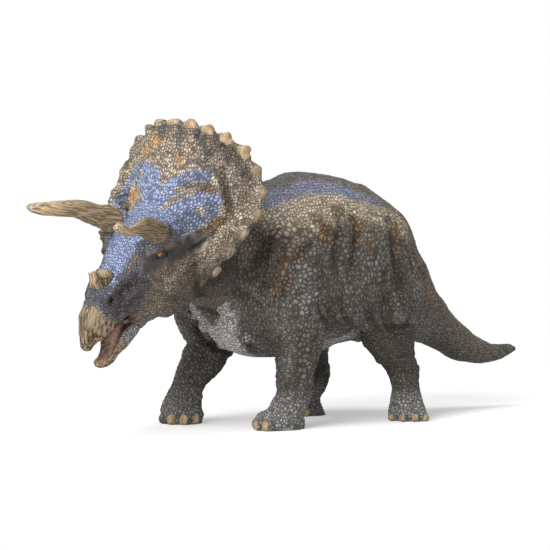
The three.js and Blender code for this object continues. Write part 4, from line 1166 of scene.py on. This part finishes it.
def parted(piece, owner):
    """Cuts the skin along its seams into one closed piece for each node."""
    mesh = piece.data
    mesh.materials.clear()
    for name in SKIN_NODES:
        mesh.materials.append(bpy.data.materials.new(CUT + name))
    corners = array_of(mesh.loops, "vertex_index", np.int32).reshape(-1, 4)
    face_owner = np.median(owner[corners], axis=1).astype(np.int32)
    mesh.polygons.foreach_set("material_index", face_owner)
    for other in bpy.context.selected_objects:
        other.select_set(False)
    bpy.context.view_layer.objects.active = piece
    piece.select_set(True)
    bpy.ops.object.mode_set(mode="EDIT")
    bpy.ops.mesh.select_all(action="SELECT")
    bpy.ops.mesh.separate(type="MATERIAL")
    bpy.ops.object.mode_set(mode="OBJECT")
    parts = {part.data.materials[0].name[len(CUT):]: part for part in bpy.context.selected_objects}
    for name, part in parts.items():
        part.name = name + "_skin"
        part.data.materials.clear()
        part.select_set(False)
        capped(part)
    return parts


def capped(part):
    """Closes a cut piece at its seams, and thins it where it has too many faces."""
    made = bmesh.new()
    made.from_mesh(part.data)
    made.faces.ensure_lookup_table()
    rim = [edge for edge in made.edges if edge.is_boundary]
    for edge in rim:
        edge.smooth = False
    caps = bmesh.ops.holes_fill(made, edges=rim, sides=0)["faces"]
    bmesh.ops.poke(made, faces=caps)
    made.to_mesh(part.data)
    triangles = sum(len(face.verts) - 2 for face in made.faces)
    made.free()
    if triangles > PIECE_TRIANGLES:
        part.modifiers.new("thinned", "DECIMATE").ratio = PIECE_TRIANGLES / triangles
        applied(part)
    part.data.shade_smooth()


def skin_material():
    """Painted, brushed scales in soft moulded plastic."""
    made, tree = shader_tree("painted_skin")
    place = object_place(tree)
    kept = {name: node(tree, "ShaderNodeAttribute", attribute_name=name).outputs[output]
            for output, names in (("Color", ("groove_paint", "top_paint")),
                                  ("Fac", ["scale_" + name for name in SCALE_SHARES]),
                                  ("Vector", ("grain_place", "scale_place")))
            for name in names}
    relief, grain = kept["scale_relief"], kept["scale_grain"]
    top, share = scale_pattern(tree, kept["scale_place"], kept["scale_size"])
    wear = noise_of(tree, place, 420.0, 3.0)
    fibre = noise_of(tree, kept["grain_place"], 2.4, 3.0, Roughness=0.6)
    # how much of the brushed tone a place takes
    on_scale = math_of(tree, "MULTIPLY", top, ramp_of(tree, wear, 0.25, 0.6, 0.55, 1.0))
    plain = math_of(tree, "MULTIPLY", ramp_of(tree, wear, 0.3, 0.7), 0.8)
    skin_share = level_of(tree, relief, plain, on_scale)
    brushed_share = level_of(tree, grain, skin_share, ramp_of(tree, fibre, 0.38, 0.62))
    colour = blend_of(tree, brushed_share, kept["groove_paint"], kept["top_paint"])
    value = level_of(tree, grain, ramp_of(tree, share, 0.0, 1.0, 0.84, 1.14), 1.0)
    tinted = node(tree, "ShaderNodeHueSaturation", {"Value": value, "Color": colour}).outputs[0]
    rough = ramp_of(tree, brushed_share, 0.0, 1.0, 0.78, 0.58)
    fine = noise_of(tree, place, 2600.0, 2.0)
    height = level_of(tree, grain, math_of(tree, "MULTIPLY", top, relief), fibre)
    height = math_of(tree, "MULTIPLY_ADD", fine, 0.12, height)
    bump = node(tree, "ShaderNodeBump", {"Height": height, "Strength": 0.75, "Distance": 0.28 * MM})
    surface(tree, node(tree, "ShaderNodeBsdfPrincipled",
                       {"Base Color": tinted, "Roughness": rough, "Normal": bump.outputs[0],
                        "Specular IOR Level": 0.35}))
    return made


def dressed(piece, nodes, body, material):
    """Stands a finished piece in for its CAD nodes."""
    piece.data.materials.clear()
    piece.data.materials.append(material)
    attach(piece, body)
    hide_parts(*nodes)


# The lower jaw in the head's frame: behind MOUTH_BACK it lies hidden between the cheeks
MOUTH_BACK, MOUTH_FRONT = -38, -54.5
TONGUE_HALF = 2.4


def jaw_skin():
    """The lower jaw: a horny tip, scaly sides and a mouth with a tongue."""
    piece = remeshed(stood(merged_copies(["lower_jaw"], 0), "lower_jaw_skin"), SMALL_VOXEL)
    skin = Skin(piece)
    skin.relax(rounds=8)
    drawn_to_outline(skin, lambda names: "lower_jaw" in names)
    facing = skin.normals() @ HEAD_AXES
    # a trough along the upper side, with the tongue along its middle
    x, y, _ = head_places(skin).T
    aside = np.abs(y)
    trough = eased(aside, 5.2, 3.4) * eased(x, MOUTH_BACK, -41) * eased(x, MOUTH_FRONT, -51)
    upper = (facing[:, 2] > 0.3) & (x < MOUTH_BACK)
    skin.lift[upper] -= (1.3 * trough * (1 - 0.75 * eased(aside, TONGUE_HALF, 1.0)))[upper]
    skin.settle()
    skin.relax(rounds=2)
    local = head_places(skin)
    x, y, z = local.T
    aside = np.abs(y)
    tip = eased(x + 0.4 * (z + 12), -45.5, -46.5)
    skin.cover(1.0, "grey")
    skin.cover(0.6 * eased(mottle(skin.place, 4), -0.3, 0.5), "brown")
    skin.cover(tip, "beak")
    skin.cover(0.5 * (1 - tip), "pale")
    skin.cover(0.7 * eased(x, -39, -34) * (1 - tip), "brown")
    skin.grain[:] = tip
    skin.relief[:] = 1 - tip
    skin.grain_place[:] = local * (0.06, 0.7, 0.7)
    skin.scale_place[:] = skin.place * 1.3
    lip = 3.2 + 2.2 * eased(x, -48, -41)
    inner = upper * eased(aside, lip, lip - 0.5) * eased(x, MOUTH_FRONT, -52.5)
    tongue = eased(aside, TONGUE_HALF, 1.8) * eased(x, MOUTH_BACK, -42) * eased(x, -49, -46.5)
    throat = eased(x, -43, -39) * eased(facing[:, 2], 0.1, 0.5) * eased(aside, 6.2, 5.4)
    skin.cover(inner, "mouth")
    skin.cover(inner * eased(aside, 2.2, 3.4), "gum")
    skin.cover(0.45 * inner * eased(x + 0.5 * mottle(skin.place, 3), -47, -50), "brown")
    skin.cover(inner * tongue, "tongue")
    skin.cover(throat, "gum")
    skin.relief *= (1 - 0.85 * inner) * (1 - 0.85 * throat)
    skin.grain *= 1 - inner
    skin.relief[x > MOUTH_BACK] = 0
    skin.write()
    stored(skin)
    return raised_scales(piece, JAW_SCALE_HEIGHT)


def horn_skin(name, base, tip, grain_share, cracks=()):
    """A horn with lengthwise grain from its root to its tip. Cracks are given in px."""
    piece = remeshed(stood(merged_copies([name], 0), name + "_skin"), SMALL_VOXEL)
    skin = Skin(piece)
    skin.relax(rounds=14)
    drawn_to_outline(skin, lambda names: name in names)
    base, tip = np.array(base), np.array(tip)
    run = tip - base
    length = np.linalg.norm(run)
    run /= length
    along = (skin.place - base) @ run
    off_line = skin.place - base - along[:, None] * run
    skin.grain_place[:] = off_line + run * along[:, None] * grain_share
    skin.lift += 0.14 * mottle(skin.grain_place, 0.55)
    skin.settle()
    share = along / length
    skin.cover(1.0, "tan")
    skin.cover(0.75 * eased(share, 0.85, 0.3), "horn_root")
    skin.cover(0.7 * eased(share, 0.82, 1.0), "cream")
    skin.relief[:] = 0
    skin.grain[:] = 1
    picture = Picture(skin)
    for points in cracks:
        trail = picture.trail(points, 1)
        skin.stroke(trail, 0.8, -0.3)
        skin.brush(trail, 0.42, "umber", 0.9, skin.grain > 0)
    skin.settle()
    stored(skin)
    piece.data.shade_smooth()
    return piece


def eye_material(middle, outward):
    """An amber iris with an upright slit, in a dark lidded ball."""
    made, tree = shader_tree("glossy_eye")
    place = object_place(tree)
    centre = node(tree, "ShaderNodeVectorMath", {0: place, 1: middle * MM}, operation="SUBTRACT")
    across, depth = (
        node(tree, "ShaderNodeVectorMath", {0: centre.outputs[0], 1: way},
             operation="DOT_PRODUCT").outputs["Value"]
        for way in (HEAD_TURN @ Vector((1, 0, 0)), outward))
    slit = ramp_of(tree, math_of(tree, "ABSOLUTE", across), 0.06 * MM, 0.16 * MM)
    flecks = noise_of(tree, place, 1800.0, 3.0)
    iris = blend_of(tree, ramp_of(tree, flecks, 0.35, 0.65), EYE_PAINT["amber"], EYE_PAINT["gold"])
    seen = blend_of(tree, slit, EYE_PAINT["slit"], iris)
    within = ramp_of(tree, depth, *[far * MM for far in IRIS_DEPTH])
    colour = blend_of(tree, within, EYE_PAINT["ball"], seen)
    rough = level_of(tree, within, 0.6, 0.2)
    surface(tree, node(tree, "ShaderNodeBsdfPrincipled",
                       {"Base Color": colour, "Roughness": rough, "Specular IOR Level": 0.3}))
    return made


def pin_material():
    """Drawn steel wire, with fine scratches along it."""
    made, tree = shader_tree("steel_pin")
    turn = node(tree, "ShaderNodeMapping", {"Vector": object_place(tree), "Scale": (4000, 300, 4000)})
    scratch = node(tree, "ShaderNodeTexNoise", {"Vector": turn.outputs[0], "Scale": 1.0}).outputs[0]
    colour = blend_of(tree, scratch, (*tone(150, 150, 150), 1), (*tone(205, 205, 205), 1))
    rough = ramp_of(tree, scratch, 0.3, 0.7, 0.25, 0.45)
    surface(tree, node(tree, "ShaderNodeBsdfPrincipled",
                       {"Base Color": colour, "Roughness": rough, "Metallic": 1.0}))
    return made


FLOOR_FADE = (0.16, 0.32)  # metres from the figure's middle, over which the floor fades out
LAMPS = (  # place, width, watts
    ("key_lamp", (-800, -330, 520), 640, 9.4),
    ("top_lamp", (-80, 60, 900), 500, 3.4),
    ("fill_lamp", (-200, -900, 300), 600, 1.0),
)


def stage():
    """A pale floor, soft lamps and the camera."""
    ground = bmesh.new()
    bmesh.ops.create_circle(ground, cap_ends=True, segments=64, radius=2)
    floor = stood(ground, "floor")
    made, tree = shader_tree("pale_floor")
    chalk = node(tree, "ShaderNodeBsdfDiffuse", {"Color": (0.8, 0.8, 0.8, 1)})
    glow = node(tree, "ShaderNodeEmission", {"Color": (1, 1, 1, 1), "Strength": 0.32})
    lit = node(tree, "ShaderNodeAddShader", {0: chalk.outputs[0], 1: glow.outputs[0]})
    ray = node(tree, "ShaderNodeLightPath").outputs["Is Camera Ray"]
    away = node(tree, "ShaderNodeVectorMath", {0: object_place(tree)}, operation="LENGTH")
    fade = math_of(tree, "MULTIPLY", ramp_of(tree, away.outputs["Value"], *FLOOR_FADE), ray)
    seen = node(tree, "ShaderNodeMixShader", {0: ray, 1: chalk.outputs[0], 2: lit.outputs[0]})
    clear = node(tree, "ShaderNodeBsdfTransparent")
    surface(tree, node(tree, "ShaderNodeMixShader", {0: fade, 1: seen.outputs[0], 2: clear.outputs[0]}))
    floor.data.materials.append(made)

    world = bpy.data.worlds.new("studio")
    world.use_nodes = True
    tree = world.node_tree
    tree.nodes.clear()
    ray = node(tree, "ShaderNodeLightPath")
    clear = math_of(tree, "MAXIMUM", ray.outputs["Is Camera Ray"], ray.outputs["Is Transmission Ray"])
    clear = math_of(tree, "MAXIMUM", clear, ray.outputs["Is Glossy Ray"])
    strength = level_of(tree, clear, 0.34, 1.0)
    sky = node(tree, "ShaderNodeBackground", {"Color": (1, 1, 1, 1), "Strength": strength})
    node(tree, "ShaderNodeOutputWorld", {0: sky.outputs[0]})
    bpy.context.scene.world = world

    for name, place, size, power in LAMPS:
        lamp = bpy.data.lights.new(name, "AREA")
        lamp.shape = "DISK"
        lamp.size = size * MM
        lamp.energy = power
        held = bpy.data.objects.new(name, lamp)
        held.location = Vector(place) * MM
        held.rotation_euler = (VIEW_MIDDLE * MM - held.location).to_track_quat("-Z", "Y").to_euler()
        bpy.context.scene.collection.objects.link(held)

    right, up, back = camera_axes()
    eye = bpy.data.cameras.new("camera")
    eye.lens = LENS
    eye.sensor_width = SENSOR
    eye.clip_start = 0.01
    camera = bpy.data.objects.new("camera", eye)
    turn = Matrix((right, up, back)).transposed().to_4x4()
    camera.matrix_world = Matrix.Translation((VIEW_MIDDLE + back * VIEW_DISTANCE) * MM) @ turn
    bpy.context.scene.collection.objects.link(camera)
    bpy.context.scene.camera = camera
    bpy.context.scene.view_settings.view_transform = "Standard"


# The face and the soles are eased less, and so keep more of their form
FACE_BACK, FACE_EASE = 12, 0.12
SOLE_TOP, SOLE_EASE = 5, 0.1
SMOOTH_SOLE = (0.3, 1.2)  # above the ground, where the scales of the feet begin


def figure_skin():
    """Body, head, tail and legs, sculpted and painted as one skin and cut into their pieces."""
    cover = whole_skin()
    owner = near_nodes(cover)
    skin = Skin(cover)
    skin.relax(rounds=5)
    ease = np.ones(len(owner))
    ease[(owner == HEAD) & (head_places(skin)[:, 0] < FACE_BACK)] = FACE_EASE
    ease[(owner > TAIL) & (skin.place[:, 2] < SOLE_TOP)] = SOLE_EASE
    skin.relax(rounds=36, weight=ease)
    low_knobs = np.zeros(len(owner))
    for place, outward, _, low in knob_places():
        if low:
            where, away, _ = skin.near(np.array([place, place + 4 * outward]), 3)
            low_knobs[where] = np.maximum(low_knobs[where], eased(away, 1, 0.5))
    skin.relax(rounds=24, weight=low_knobs, steps=(0.5,))
    drawn_to_outline(skin, lambda names: np.isin(np.array(SKIN_NODES)[owner], names))
    skin.write()
    picture = sculpted(skin, owner)
    skin.settle()
    skin.relax(rounds=1)
    lidded(skin, owner)
    on = Regions(skin, owner)
    coated(skin, on)
    brushed(skin, on, picture)
    sized(skin, on, picture)
    bare_horn(skin, on)
    laid(skin, on, picture)
    skin.relief *= eased(skin.place[:, 2], *SMOOTH_SOLE)
    skin.place[:, 2] = np.maximum(skin.place[:, 2], 0)
    skin.write()
    stored(skin)
    raised_scales(cover, SKIN_SCALE_HEIGHT)
    return parted(cover, owner)


stage()
parts = figure_skin()
skin_paint = skin_material()
for name, part in parts.items():
    dressed(part, [name], "figure", skin_paint)

jaw = jaw_skin()
dressed(jaw, ["lower_jaw"], "jaw", skin_paint)

for name, side, rise in BROW_HORNS:
    horn = horn_skin(name, in_head(-20, side * 9.5, rise), in_head(-45, side * 22, rise + 19), 0.05)
    dressed(horn, [name], "figure", skin_paint)
horn = horn_skin("nose_horn", in_head(-41.5, 0, 7.4), in_head(-41.5, 0, 19), 0.08, NOSE_HORN_CRACKS)
dressed(horn, ["nose_horn"], "figure", skin_paint)

for name, side in (("eye_left", -1), ("eye_right", 1)):
    middle = in_head(EYE_SETBACK, side * EYE_SPREAD, EYE_RISE)
    ball = bmesh.new()
    place = Matrix.Translation(middle * MM)
    bmesh.ops.create_uvsphere(ball, u_segments=32, v_segments=20, radius=EYE_RADIUS * MM, matrix=place)
    piece = stood(ball, name + "_ball")
    piece.data.shade_smooth()
    outward = HEAD_TURN @ Vector((-0.75, side * 0.62, 0.5)).normalized()
    dressed(piece, [name], "figure", eye_material(middle, outward))

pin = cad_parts["jaw_pin"]
pin.data.materials.clear()
pin.data.materials.append(pin_material())
